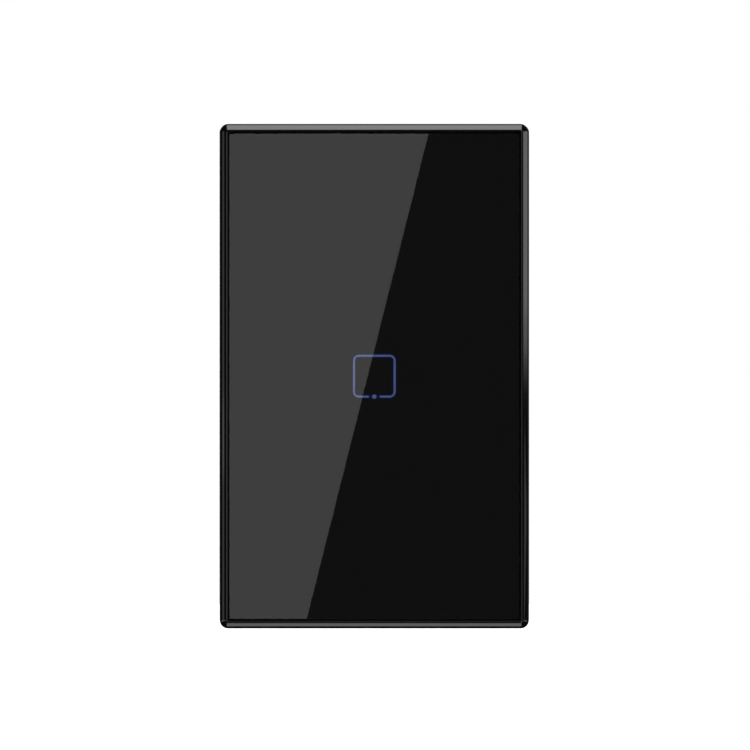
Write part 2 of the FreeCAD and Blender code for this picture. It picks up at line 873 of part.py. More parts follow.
# Light guides: clear ring and clear pin between the lamps and the mask
def light_guides():
    deep = ("mask_back", "touch_board_front - lamp_height - guide_lift")
    keep(key_ring("guide_overlap", deep), "light_guide")
    keep(key_dot("dot_guide_radius", deep), "dot_light_guide")


def lamps():
    keep(grouped(lamp_blocks("0", "lamp_height")), "backlight_lamps")
    keep(status_lamp("0", "lamp_height"), "status_lamp")


def tangent_arcs(start, start_way, end, end_way):
    """Two arcs that leave one point along its tangent and reach the next along its own."""
    chord = end - start
    ways = start_way + end_way
    against = 2 * (1 - start_way.dot(end_way))
    along = chord.dot(ways)
    reach = (-along + math.sqrt(along * along + against * chord.dot(chord))) / against
    start_arm = start + start_way * reach
    end_arm = end - end_way * reach
    meeting = (start_arm + end_arm) * 0.5
    arcs = []
    for first, arm, last in ((start, start_arm, meeting), (meeting, end_arm, end)):
        middle = (first + last) * 0.5
        bulge = arm - middle
        half = (last - first).Length / 2
        rise = half * math.tan(math.atan2(bulge.Length, half) / 2)
        arcs.append(Part.Arc(first, middle + bulge * (rise / bulge.Length), last).toShape())
    return arcs


# Touch spring: a short coil that carries the touch signal from the board to the back of the glass
def touch_spring(mask, board):
    document.recompute()
    radius = sheet.get("spring_radius")
    wire = sheet.get("spring_wire")
    turns = int(sheet.get("spring_turns"))
    low = mask.Shape.BoundBox.YMax + wire / 2
    high = board.Shape.BoundBox.YMin - wire / 2
    quarters = turns * 4
    rise = (high - low) / (quarters * math.pi / 2)
    points = []
    ways = []
    for step in range(quarters + 1):
        angle = step * math.pi / 2
        depth = low + (high - low) * step / quarters
        points.append(Vector(radius * math.cos(angle), depth, radius * math.sin(angle)))
        way = Vector(-radius * math.sin(angle), rise, radius * math.cos(angle))
        ways.append(way.normalize())
    edges = []
    for step in range(quarters):
        edges += tangent_arcs(points[step], ways[step], points[step + 1], ways[step + 1])
    path = Part.Wire(edges)
    section = Part.Wire(Part.Circle(points[0], ways[0], wire / 2).toShape())
    item = document.addObject("Part::Feature", "TouchSpring")
    item.Shape = path.makePipeShell([section], True, False)
    gap = (high - low) / turns - wire
    print(f"touch spring: least gap between turns {gap:.2f} mm")
    keep(item, "touch_spring")


# Touch board: the printed circuit board behind the carrier
def touch_board():
    body = new_body("touch_board")
    slab(
        body,
        both_ways("touch_board_right"),
        both_ways("touch_board_top"),
        ("touch_board_front", "touch_board_back"),
    )
    holes = sketch_in(body, "touch_board_front")
    for place in board_screw_places():
        add_circle(holes, place[0], place[1], "small_screw_radius + through_gap")
    pocket(body, holes, "touch_board_thickness")
    half = "(header_pin_width / 2 + pin_hole_gap)"
    pins = sketch_in(body, "touch_board_front")
    for x, z in header_places():
        add_rectangle(pins, (f"{x} - {half}", f"{x} + {half}"), (f"{z} - {half}", f"{z} + {half}"))
    pocket(body, pins, "touch_board_thickness")
    fingers = sketch_in(body, "touch_board_front")
    for side, end in corner_signs():
        add_rectangle(
            fingers,
            centred(f"{side} * finger_x", "finger_width + 2 * finger_window_gap"),
            centred(f"{end} * finger_z", "finger_thickness + 2 * finger_window_gap"),
        )
    pocket(body, fingers, "touch_board_thickness")
    return body


def pan_screw(shank_radius, head_radius, head_height, length, place, seat):
    """A cross-slot screw on a seat: its shank points towards the wall for 1 and away from it for -1."""
    x, z = place
    level, towards = seat
    head_end = f"{level} - {towards} * {head_height}"
    head = rod(head_radius, "y", in_order(head_end, level, towards), place)
    head = rounded(head, "screw_head_edge_radius", on_front if towards > 0 else on_back)
    tip = f"{level} + {towards} * ({length})"
    shank = rod(shank_radius, "y", in_order(level, tip, towards), place)
    mouth = f"{head_end} - {towards} * overcut"
    bottom = f"{head_end} + {towards} * cross_slot_depth"
    deep = in_order(mouth, bottom, towards)
    tall = block(centred(x, "cross_slot_width"), deep, centred(z, "cross_slot_length"))
    wide = block(centred(x, "cross_slot_length"), deep, centred(z, "cross_slot_width"))
    return cut_away(joined([head, shank]), [tall, wide])


def touch_board_screws():
    screws = [
        pan_screw(
            "small_screw_radius",
            "small_screw_head_radius",
            "small_screw_head_height",
            "small_screw_length",
            place,
            ("touch_board_back", -1),
        )
        for place in board_screw_places()
    ]
    keep(grouped(screws), "touch_board_screws")


# Touch chip and its rows of bent leads, on the rear of the touch board
def touch_chip():
    bottom = "touch_board_back + chip_lift"
    solid = block(
        centred("chip_x", "chip_length"),
        (bottom, f"{bottom} + chip_height"),
        centred("chip_z", "chip_width"),
    )
    keep(solid, "touch_chip")


def touch_chip_leads():
    leads = []
    shoulder = "touch_board_back + chip_lift + chip_height / 2"
    for side in (-1, 1):
        edge = f"chip_z + {side} * chip_width / 2"
        knee = f"chip_z + {side} * (chip_width / 2 + lead_reach / 2)"
        toe = f"chip_z + {side} * (chip_width / 2 + lead_reach)"
        for step in range(SIZES["leads_per_side"]):
            x = f"chip_x + ({step} - (leads_per_side - 1) / 2) * lead_pitch"
            across = centred(x, "lead_width")
            arm = in_order(edge, knee, side)
            foot = in_order(f"{knee} - {side} * lead_thickness", toe, side)
            upright = in_order(f"{knee} - {side} * lead_thickness", knee, side)
            top = block(across, (f"{shoulder} - lead_thickness", shoulder), arm)
            riser = block(across, ("touch_board_back", shoulder), upright)
            pad_piece = block(
                across, ("touch_board_back", "touch_board_back + lead_thickness"), foot
            )
            leads.append(joined([top, riser, pad_piece]))
    keep(grouped(leads), "touch_chip_leads")


# Radio module: a small board with a shield can, soldered on the rear of the touch board
def radio_module():
    board_back = "touch_board_back + radio_board_thickness"
    board = block(
        centred("radio_x", "radio_width"),
        ("touch_board_back", board_back),
        centred("radio_z", "radio_height"),
    )
    keep(board, "radio_board")
    can = block(
        centred("radio_x", "shield_width"),
        (board_back, f"{board_back} + shield_height"),
        centred("radio_z - shield_shift", "shield_length"),
    )
    keep(rounded(can, "shield_corner_radius", outer_uprights), "radio_shield")


def touch_board_parts():
    """Two rows of small ceramic parts beside the radio module."""
    parts = []
    for column in range(2):
        for row in range(SIZES["chip_part_rows"]):
            x = f"chip_part_x + {column} * chip_part_column_pitch"
            z = f"chip_part_z + {row} * chip_part_pitch"
            parts.append(
                block(
                    centred(x, "chip_part_length"),
                    ("touch_board_back", "touch_board_back + chip_part_height"),
                    centred(z, "chip_part_width"),
                )
            )
    keep(grouped(parts), "ceramic_parts")


def header_places():
    """Two rows of pins that join the touch board to the power board."""
    return [
        (
            f"header_x + ({column} - (header_columns - 1) / 2) * header_pitch",
            f"header_z + {row} * header_pitch / 2",
        )
        for column in range(SIZES["header_columns"])
        for row in (-1, 1)
    ]


def header():
    pins = []
    holes = []
    half = "header_pin_width / 2"
    wide = f"({half} + header_pin_gap)"
    pin_span = ("touch_board_front - header_pin_front", "touch_board_back + header_pin_reach")
    for x, z in header_places():
        pins.append(block((f"{x} - {half}", f"{x} + {half}"), pin_span, (f"{z} - {half}", f"{z} + {half}")))
        holes.append((x, z))
    keep(grouped(pins), "header_pins")

    def body_with_holes(deep):
        """A moulded strip with a square hole for each pin."""
        outline = block(
            centred("header_x", "2 * header_half_width"), deep, centred("header_z", "2 * header_pitch")
        )
        cuts = [
            block(
                (f"{x} - {wide}", f"{x} + {wide}"),
                (f"{deep[0]} - overcut", f"{deep[1]} + overcut"),
                (f"{z} - {wide}", f"{z} + {wide}"),
            )
            for x, z in holes
        ]
        return cut_away(outline, cuts)

    strip = body_with_holes(("touch_board_back", "touch_board_back + header_strip_height"))
    keep(strip, "header_strip")
    keep(body_with_holes(("socket_front", "power_board_front")), "header_socket")


# Mounting plate: a cast plate with a rim on the wall, two slotted pads and four finger windows
def mounting_plate():
    body = new_body("mounting_plate")
    solid = slab(body, both_ways("plate_right"), both_ways("plate_top"), ("plate_front", "0"))
    dress_edges(body, solid, "Fillet", outer_uprights, Radius="plate_corner_radius")
    opening(
        body,
        both_ways("plate_right - plate_rim_width"),
        both_ways("plate_top - plate_rim_width"),
        ("plate_back", "0"),
    )
    pads = sketch_in(body, "0")
    for end in (-1, 1):
        add_circle(pads, "0", f"{end} * box_screw_spacing / 2", "box_pad_radius")
    pad(body, pads, "plate_standoff")
    upright_ribs = sketch_in(body, "-wall_clearance")
    level_ribs = sketch_in(body, "-wall_clearance")
    for side in (-1, 1):
        across = centred(f"{side} * plate_rib_x", "plate_rib_width")
        add_rectangle(upright_ribs, across, both_ways("plate_top - plate_rim_width / 2"))
        up = centred(f"{side} * plate_rib_z", "plate_rib_width")
        add_rectangle(level_ribs, both_ways("plate_right - plate_rim_width / 2"), up)
    pad(body, upright_ribs, "plate_standoff - wall_clearance")
    pad(body, level_ribs, "plate_standoff - wall_clearance")
    slot_reach = "(box_slot_length - box_slot_width) / 2"
    slot_depth = "plate_thickness + plate_standoff"
    for side in (-1, 1):
        slot_ends = sketch_in(body, "plate_front")
        for end in (-1, 1):
            middle = f"{end} * box_screw_spacing / 2 + {side} * {slot_reach}"
            add_circle(slot_ends, "0", middle, "box_slot_width / 2")
        pocket(body, slot_ends, slot_depth)
    slot_middles = sketch_in(body, "plate_front")
    for end in (-1, 1):
        up = centred(f"{end} * box_screw_spacing / 2", f"2 * {slot_reach}")
        add_rectangle(slot_middles, both_ways("box_slot_width / 2"), up)
    pocket(body, slot_middles, slot_depth)
    windows = sketch_in(body, "plate_front")
    add_rectangle(
        windows, both_ways("plate_window_width / 2"), both_ways("plate_window_height / 2")
    )
    for side, end in corner_signs():
        add_rectangle(
            windows,
            centred(f"{side} * finger_x", "finger_width + 2 * finger_window_gap"),
            finger_window(end),
        )
    for side, end in corner_signs():
        add_circle(
            windows,
            f"{side} * housing_screw_x",
            f"{end} * housing_screw_z",
            "housing_screw_radius + through_gap",
        )
    pocket(body, windows, "plate_thickness")


def finger_window(end):
    """The window's span along Z: clear of the shank inside, and just clear of it under the barb."""
    inner = f"{end} * (finger_z - finger_thickness / 2 - finger_barb - finger_window_gap)"
    outer = f"{end} * (finger_z + finger_thickness / 2 + finger_catch_gap)"
    return in_order(inner, outer, end)


# Rear housing: a moulded box with corner posts, board ledges, vents and a notch for the terminals
def rear_housing():
    body = new_body("rear_housing")
    solid = slab(
        body,
        both_ways("housing_width / 2"),
        both_ways("housing_height / 2"),
        ("plate_back", "housing_depth"),
    )
    solid = dress_edges(body, solid, "Fillet", outer_uprights, Radius="housing_corner_radius")
    dress_edges(body, solid, "Chamfer", on_back, Size="housing_edge_bevel")
    inside = sketch_in(body, "plate_back")
    add_rectangle(inside, both_ways("housing_inner_x"), both_ways("post_inner_z"))
    inner_depth = "housing_inner_back - plate_back"
    pocket(body, inside, inner_depth)
    middle = sketch_in(body, "plate_back")
    add_rectangle(middle, both_ways("post_inner_x"), both_ways("housing_inner_z"))
    pocket(body, middle, inner_depth)
    ledges = sketch_in(body, "housing_inner_back")
    for side in (-1, 1):
        for level in ("ledge_low_z", "ledge_high_z"):
            edge = f"{side} * housing_inner_x"
            inner = f"{side} * (housing_inner_x - ledge_width)"
            add_rectangle(ledges, in_order(inner, edge, side), centred(level, "ledge_length"))
    pad(body, ledges, "housing_inner_back - power_board_back")
    pilots = sketch_in(body, "plate_back")
    for side, end in corner_signs():
        add_circle(
            pilots,
            f"{side} * housing_screw_x",
            f"{end} * housing_screw_z",
            "housing_screw_radius + pilot_gap",
        )
    pocket(body, pilots, "housing_screw_length + through_gap")
    notch = sketch_in(body, "power_board_front - power_board_gap")
    half = "(terminal_half_width + terminal_fit)"
    add_rectangle(
        notch, both_ways(half), ("terminal_low_z - overcut", "terminal_high_z + terminal_fit")
    )
    pocket(body, notch, "housing_depth + overcut")
    vents = sketch_in(body, "housing_inner_back - overcut")
    for step in range(SIZES["vent_count"]):
        middle_x = f"({step} - (vent_count - 1) / 2) * vent_pitch"
        for level in ("vent_low_z", "vent_high_z"):
            add_rectangle(
                vents, centred(middle_x, "vent_width"), centred(level, "vent_length")
            )
    pocket(body, vents, "housing_wall + 2 * overcut")
    label = sketch_in(body, "housing_depth - label_depth")
    add_rectangle(label, both_ways("label_width / 2"), centred("label_z", "label_height"))
    solid = pocket(body, label, "label_depth + overcut")

    def label_corners(edge, shape):
        """The four short uprights at the corners of the label's recess."""
        short = abs(edge.Length - sheet.get("label_depth")) < 0.001
        return short and runs_along(edge, "y") and edge.BoundBox.YMax > shape.BoundBox.YMax - 0.001

    dress_edges(body, solid, "Fillet", label_corners, Radius="label_corner_radius")


def housing_screws():
    screws = [
        pan_screw(
            "housing_screw_radius",
            "housing_screw_head_radius",
            "housing_screw_head_height",
            "plate_thickness + housing_screw_length",
            (f"{side} * housing_screw_x", f"{end} * housing_screw_z"),
            ("plate_front", 1),
        )
        for side, end in corner_signs()
    ]
    keep(grouped(screws), "housing_screws")


# Insulation barrier: a sheet with four legs that holds the power board down on its ledges
def insulation_barrier():
    half_x = "(housing_inner_x - power_board_gap)"
    half_z = "(post_inner_z - power_board_gap)"
    sheet_part = block(both_ways(half_x), ("barrier_front", "barrier_back"), both_ways(half_z))
    legs = []
    for side, end in corner_signs():
        x = f"{side} * ({half_x} - barrier_leg_size / 2)"
        z = f"{end} * ({half_z} - barrier_leg_size / 2)"
        legs.append(
            block(
                centred(x, "barrier_leg_size"),
                ("barrier_back", "power_board_front"),
                centred(z, "barrier_leg_size"),
            )
        )
    window = block(
        centred("header_x", "2 * header_half_width + 2 * through_gap"),
        ("barrier_front - overcut", "barrier_back + overcut"),
        centred("header_z", "2 * header_pitch + 2 * through_gap"),
    )
    keep(cut_away(joined([sheet_part] + legs), [window]), "insulation_barrier")


def relay_pin_places():
    """Two coil pins behind the yoke's foot and two contact pins at the other end of the relay."""
    coil_side = "yoke_outer_x + yoke_thickness"
    contact_side = "strip_outer_x - contact_strip_thickness"
    return [
        (coil_side, "relay_z - yoke_width / 2"),
        (coil_side, "relay_z + yoke_width / 2"),
        (contact_side, "relay_z - low_contact_pin"),
        (contact_side, "relay_z + high_contact_pin"),
    ]


def wire_lead_places():
    """Where the round leads of the power parts pass through the board."""
    pairs = [
        ("bulk_x", "bulk_z", "lead_spacing"),
        ("bulk_x + bulk_pitch", "bulk_z", "lead_spacing"),
        ("output_x", "output_z", "short_lead_spacing"),
        ("varistor_x", "varistor_z", "short_lead_spacing"),
        ("film_x", "film_z", "film_lead_spacing"),
        ("transformer_x", "transformer_z - former_lead_z", "former_lead_spacing"),
        ("transformer_x", "transformer_z + former_lead_z", "former_lead_spacing"),
    ]
    return [(f"{x} + {side} * {spacing} / 2", z) for x, z, spacing in pairs for side in (-1, 1)]


# Power board, with its corners cut out round the housing's posts
def power_board():
    body = new_body("power_board")
    edge_x = "(housing_inner_x - power_board_gap)"
    edge_z = "(housing_inner_z - power_board_gap)"
    slab(body, both_ways(edge_x), both_ways(edge_z), ("power_board_front", "power_board_back"))
    corners = sketch_in(body, "power_board_front")
    for side, end in corner_signs():
        x_near = f"{side} * (post_inner_x - power_board_gap)"
        x_far = f"{side} * (housing_inner_x + overcut)"
        z_near = f"{end} * (post_inner_z - power_board_gap)"
        z_far = f"{end} * (housing_inner_z + overcut)"
        add_rectangle(corners, in_order(x_near, x_far, side), in_order(z_near, z_far, end))
    pocket(body, corners, "power_board_thickness")
    holes = sketch_in(body, "power_board_front")
    for x, z in wire_lead_places():
        add_circle(holes, x, z, "lead_radius + pin_hole_gap")
    for x, z in relay_pin_places():
        side = "relay_pin_width + 2 * pin_hole_gap"
        add_rectangle(holes, centred(x, side), centred(z, side))
    for x in terminal_places():
        add_rectangle(
            holes, centred(x, "bar_width + 2 * pin_hole_gap"), bar_leg_span("pin_hole_gap")
        )
    pocket(body, holes, "power_board_thickness")


def lead_wires():
    """Round leads of the power parts, through the board and a little past its solder side."""
    span = ("power_board_front - solder_reach", "power_board_back")
    leads = [rod("lead_radius", "y", span, place) for place in wire_lead_places()]
    keep(grouped(leads), "lead_wires")


# Relay, a sealed cube with its coil standing on the board and its armature hinged on the yoke
def relay_shell():
    inner_length = "relay_length - 2 * relay_cover_wall"
    inner_width = "relay_width - 2 * relay_cover_wall"
    base = block(
        centred("relay_x", f"{inner_length} - 2 * relay_base_gap"),
        ("power_board_back", "relay_base_top"),
        centred("relay_z", f"{inner_width} - 2 * relay_base_gap"),
    )
    keep(base, "relay_base")
    outer = block(
        centred("relay_x", "relay_length"),
        ("power_board_back + relay_cover_lift", "relay_top"),
        centred("relay_z", "relay_width"),
    )

    def upper_rim(edge, shape):
        """The uprights and the rearmost edges of the cover."""
        return outer_uprights(edge, shape) or on_back(edge, shape)

    outer = rounded(outer, "relay_cover_radius", upper_rim)
    inner = block(
        centred("relay_x", inner_length),
        ("power_board_back", "relay_top - relay_cover_wall"),
        centred("relay_z", inner_width),
    )
    keep(cut_away(outer, [inner]), "relay_cover")


def relay_magnet():
    depth = centred("relay_z", "yoke_width")
    upright_x = ("yoke_outer_x", "yoke_outer_x + yoke_thickness")
    upright = block(upright_x, ("relay_base_top", "nose_middle"), depth)
    nose_x = "yoke_outer_x + yoke_thickness / 2"
    nose = rod("yoke_thickness / 2", "z", depth, (nose_x, "nose_middle"))
    foot_x = ("yoke_outer_x", "relay_x + yoke_foot_end")
    foot = block(foot_x, ("relay_base_top", "yoke_foot_top"), depth)
    axle = ("coil_x", "relay_z")
    hole_span = ("relay_base_top - overcut", "yoke_foot_top + overcut")
    hole = rod("core_radius + core_gap", "y", hole_span, axle)
    keep(cut_away(joined([upright, nose, foot]), [hole]), "relay_yoke")
    stem = rod("core_radius", "y", ("relay_base_top", "pole_top"), axle)
    pole = rod("pole_radius", "y", ("bobbin_top", "pole_top"), axle)
    keep(joined([stem, pole]), "relay_core")
    tube_radius = "core_radius + bobbin_gap + bobbin_wall"
    flange_x = centred("coil_x", "bobbin_flange_width")
    flange_z = centred("relay_z", "bobbin_flange_width")
    tube = rod(tube_radius, "y", ("yoke_foot_top", "bobbin_top"), axle)
    low = block(flange_x, ("yoke_foot_top", "yoke_foot_top + bobbin_flange"), flange_z)
    high = block(flange_x, ("bobbin_top - bobbin_flange", "bobbin_top"), flange_z)
    bore_span = ("yoke_foot_top - overcut", "bobbin_top + overcut")
    bore = rod("core_radius + bobbin_gap", "y", bore_span, axle)
    keep(cut_away(joined([tube, low, high]), [bore]), "relay_bobbin")
    winding = rod("coil_radius", "y", ("coil_bottom", "coil_top"), axle)
    core_span = ("coil_bottom - overcut", "coil_top + overcut")
    core_hole = rod(f"{tube_radius} + coil_gap", "y", core_span, axle)
    keep(cut_away(winding, [core_hole]), "relay_coil")


def relay_contacts():
    armature = block(
        ("yoke_outer_x", "yoke_outer_x + armature_length"),
        ("armature_bottom", "armature_top"),
        centred("relay_z", "yoke_width"),
    )
    keep(armature, "relay_armature")
    blade = block(
        ("yoke_outer_x + armature_length / 2", "contact_x + contact_radius"),
        ("armature_top", "armature_top + blade_thickness"),
        centred("relay_z", "blade_width"),
    )
    button = rod(
        "contact_radius",
        "y",
        ("moving_contact_bottom", "armature_top"),
        ("contact_x", "relay_z"),
    )
    keep(joined([blade, button]), "relay_contact_blade")
    depth = centred("relay_z", "contact_strip_width")
    strip_bottom = "fixed_contact_bottom - contact_strip_thickness"
    upright = block(
        ("strip_outer_x - contact_strip_thickness", "strip_outer_x"),
        ("relay_base_top", "fixed_contact_bottom"),
        depth,
    )
    arm = block(
        ("contact_x - contact_radius", "strip_outer_x"),
        (strip_bottom, "fixed_contact_bottom"),
        depth,
    )
    rivet = rod(
        "contact_radius",
        "y",
        ("fixed_contact_bottom", "fixed_contact_top"),
        ("contact_x", "relay_z"),
    )
    keep(joined([upright, arm, rivet]), "relay_fixed_contact")
    span = ("power_board_front - solder_reach", "power_board_back")
    pins = [
        block(centred(x, "relay_pin_width"), span, centred(z, "relay_pin_width"))
        for x, z in relay_pin_places()
    ]
    keep(grouped(pins), "relay_pins")


# Transformer: a core like a figure eight round a wound former that stands on two feet
def transformer():
    x = "transformer_x"
    z = "transformer_z"
    outer = block(
        centred(x, "core_width"), ("transformer_bottom", "transformer_top"), centred(z, "core_depth")
    )
    windows = [
        block(
            centred(f"{x} + {side} * (core_leg + window_width / 2)", "window_width"),
            ("window_bottom", "window_top"),
            centred(z, "core_depth + 2 * overcut"),
        )
        for side in (-1, 1)
    ]
    keep(cut_away(outer, windows), "transformer_core")
    inner_x = "2 * (core_leg + former_gap)"
    inner_z = "core_depth + 2 * former_gap"
    tube_x = f"({inner_x} + 2 * former_wall)"
    tube_z = f"({inner_z} + 2 * former_wall)"
    flange_x = f"({inner_x} + 2 * winding_wall)"
    flange_z = f"({inner_z} + 2 * winding_wall)"
    low = "window_bottom + former_gap"
    high = "window_top - former_gap"
    tube = block(centred(x, tube_x), (low, high), centred(z, tube_z))
    lower = block(centred(x, flange_x), (low, f"{low} + former_wall"), centred(z, flange_z))
    upper = block(centred(x, flange_x), (f"{high} - former_wall", high), centred(z, flange_z))
    feet = []
    for end in (-1, 1):
        near = f"{z} + {end} * (core_depth / 2 + former_gap)"
        far = f"{z} + {end} * {flange_z} / 2"
        standing = ("power_board_back", f"{low} + former_wall")
        feet.append(block(centred(x, flange_x), standing, in_order(near, far, end)))
    bore_span = (f"{low} - overcut", f"{high} + overcut")
    bore = block(centred(x, inner_x), bore_span, centred(z, inner_z))
    keep(cut_away(joined([tube, lower, upper] + feet), [bore]), "transformer_former")
    wound_x = f"{flange_x} - 2 * former_gap"
    wound_z = f"{flange_z} - 2 * former_gap"
    span = (f"{low} + former_wall + coil_gap", f"{high} - former_wall - coil_gap")
    wound = block(centred(x, wound_x), span, centred(z, wound_z))
    wound = rounded(wound, "winding_corner_radius", outer_uprights)
    hole = block(
        centred(x, f"{tube_x} + 2 * coil_gap"),
        (f"{span[0]} - overcut", f"{span[1]} + overcut"),
        centred(z, f"{tube_z} + 2 * coil_gap"),
    )
    keep(cut_away(wound, [hole]), "transformer_winding")


def standing_can(radius, height, place):
    """A round part that stands on the board, with both rims eased."""

    def rims(edge, shape):
        """The two round edges of the part."""
        return on_front(edge, shape) or on_back(edge, shape)

    can = rod(radius, "y", ("power_board_back", f"power_board_back + {height}"), place)
    return rounded(can, "bulk_edge_radius", rims)


def supply_parts():
    cans = [
        standing_can("bulk_radius", "bulk_height", (f"bulk_x + {step} * bulk_pitch", "bulk_z"))
        for step in range(2)
    ]
    keep(grouped(cans), "bulk_capacitors")
    keep(standing_can("output_radius", "output_height", ("output_x", "output_z")), "output_capacitor")

    def every_edge(edge, shape):
        """All the edges of a moulded case but those on the board."""
        return not on_front(edge, shape)

    film = block(
        centred("film_x", "film_length"),
        ("power_board_back", "power_board_back + film_height"),
        centred("film_z", "film_width"),
    )
    keep(rounded(film, "film_edge_radius", every_edge), "film_capacitor")

    def disc_rims(edge, shape):
        """The two round edges of the varistor's disc."""
        return isinstance(edge.Curve, Part.Circle)

    disc = rod(
        "varistor_radius",
        "z",
        centred("varistor_z", "varistor_thickness"),
        ("varistor_x", "power_board_back + varistor_lift + varistor_radius"),
    )
    disc = rounded(disc, "varistor_edge_radius", disc_rims)
    legs = [
        rod(
            "lead_radius",
            "y",
            ("power_board_back", "power_board_back + varistor_lift + varistor_radius"),
            (f"varistor_x + {side} * short_lead_spacing / 2", "varistor_z"),
        )
        for side in (-1, 1)
    ]
    keep(joined([disc] + legs), "varistor")
    keep(standing_can("fuse_radius", "fuse_length", ("fuse_x", "fuse_z")), "fuse_resistor")
    rectifier = block(
        centred("rectifier_x", "rectifier_width"),
        ("power_board_back", "power_board_back + rectifier_height"),
        centred("rectifier_z", "rectifier_length"),
    )
    keep(rectifier, "bridge_rectifier")
    chip = block(
        centred("supply_chip_x", "supply_chip_width"),
        ("power_board_back", "power_board_back + supply_chip_height"),
        centred("supply_chip_z", "supply_chip_length"),
    )
    keep(chip, "supply_chip")


def terminal_places():
    """The middle of each terminal along X."""
    return [
        f"({step} - (terminal_count - 1) / 2) * terminal_pitch"
        for step in range(SIZES["terminal_count"])
    ]


def bar_leg_span(grow):
    """Where the leg of a terminal bar stands along Z, grown by a formula."""
    near = "chamber_high_z + cage_gap"
    return f"{near} - ({grow})", f"{near} + bar_thickness + ({grow})"


# Terminal block: a chamber for each clamp cage, a wire entry below and a driver well behind
def terminal_block():
    body = new_body("terminal_block")
    slab(
        body,
        both_ways("terminal_half_width"),
        ("terminal_low_z", "terminal_high_z"),
        ("power_board_back", "housing_depth"),
    )
    chambers = sketch_in(body, "chamber_bottom")
    entries = sketch_in(body, "wire_bottom - entry_drop")
    wells = sketch_in(body, "chamber_top - overcut")
    bars = sketch_in(body, "power_board_back - overcut")
    for x in terminal_places():
        add_rectangle(chambers, centred(x, "chamber_width"), ("chamber_low_z", "chamber_high_z"))
        entry_z = ("terminal_low_z - overcut", "chamber_z")
        add_rectangle(entries, centred(x, "wire_entry_width"), entry_z)
        add_circle(wells, x, "chamber_z", "driver_well_radius")
        low, high = bar_leg_span("cage_gap")
        add_rectangle(bars, centred(x, "bar_width + 2 * cage_gap"), ("chamber_z", high))
    pocket(body, chambers, "chamber_top - chamber_bottom")
    pocket(body, entries, "wire_entry_height")
    pocket(body, wells, "housing_depth - chamber_top + 2 * overcut")
    pocket(body, bars, "bar_top + cage_gap - power_board_back + overcut")


def terminal_bars():
    bars = []
    for x in terminal_places():
        across = centred(x, "bar_width")
        near, far = bar_leg_span("0")
        arm = block(across, ("bar_bottom", "bar_top"), ("chamber_low_z + cage_gap", far))
        leg = block(across, ("power_board_front - solder_reach", "bar_top"), (near, far))
        bars.append(joined([arm, leg]))
    keep(grouped(bars), "terminal_bars")


def clamp_cages():
    for number, x in enumerate(terminal_places(), start=1):
        outer = block(
            centred(x, "cage_width"),
            ("cage_bottom", "cage_head_top"),
            centred("chamber_z", "cage_length"),
        )
        inner = block(
            centred(x, "cage_width - 2 * cage_wall"),
            ("wire_bottom", "cage_head_bottom"),
            centred("chamber_z", "cage_length + 2 * overcut"),
        )
        hole = rod(
            "terminal_screw_radius + terminal_screw_gap",
            "y",
            ("cage_head_bottom - overcut", "cage_head_top + overcut"),
            (x, "chamber_z"),
        )
        keep(cut_away(outer, [inner, hole]), f"clamp_cage_{number}")


# Terminal screws: a plain shank under a slotted head
def terminal_screws():
    for number, x in enumerate(terminal_places(), start=1):
        shank = rod(
            "terminal_screw_radius",
            "y",
            ("bar_top + terminal_screw_gap", "screw_head_bottom"),
            (x, "chamber_z"),
        )
        head = rod(
            "terminal_head_radius",
            "y",
            ("screw_head_bottom", "screw_head_top"),
            (x, "chamber_z"),
        )
        head = rounded(head, "film_edge_radius", on_back)
        slot = block(
            centred(x, "terminal_slot_width"),
            ("screw_head_top - terminal_slot_depth", "screw_head_top + overcut"),
            centred("chamber_z", "2 * terminal_head_radius + 2 * overcut"),
        )
        keep(cut_away(joined([shank, head]), [slot]), f"terminal_screw_{number}")


def check_and_write():
    """Stop on any failed object or bad shape, then write one file for each piece."""
    document.recompute()
    for item in document.Objects:
        if "Invalid" in item.State or "Error" in item.State:
            raise RuntimeError(f"{item.Name} ({item.Label}) failed: {item.State}")
    for item in pieces:
        shape = item.Shape
        if shape.isNull() or not shape.isValid() or not shape.Solids:
            raise RuntimeError(f"{item.Label} has no valid solid")
    os.makedirs("parts", exist_ok=True)
    for item in pieces:
        item.Shape.exportStep(f"parts/{item.Label}.step")
    print(f"{len(pieces)} pieces, {sum(len(item.Shape.Solids) for item in pieces)} solids")


fill_sheet()
front_frame()
touch_glass()
mask_film = key_mask()
glass_tape()
panel_carrier()
snap_fingers()
light_shroud()
light_guides()
lamps()
sensing_board = touch_board()
touch_spring(mask_film, sensing_board)
touch_board_screws()
touch_chip()
touch_chip_leads()
radio_module()
touch_board_parts()
header()
mounting_plate()
rear_housing()
housing_screws()
insulation_barrier()
power_board()
lead_wires()
relay_shell()
relay_magnet()
relay_contacts()
transformer()
supply_parts()
terminal_block()
terminal_bars()
clamp_cages()
terminal_screws()
check_and_write()
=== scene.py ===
"""Touch switch for an upright wall box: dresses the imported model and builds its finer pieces."""

import logging
import math
from abc import ABC, abstractmethod
from collections.abc import Callable, Mapping, Sequence
from dataclasses import dataclass, field
from enum import Enum
from functools import cached_property

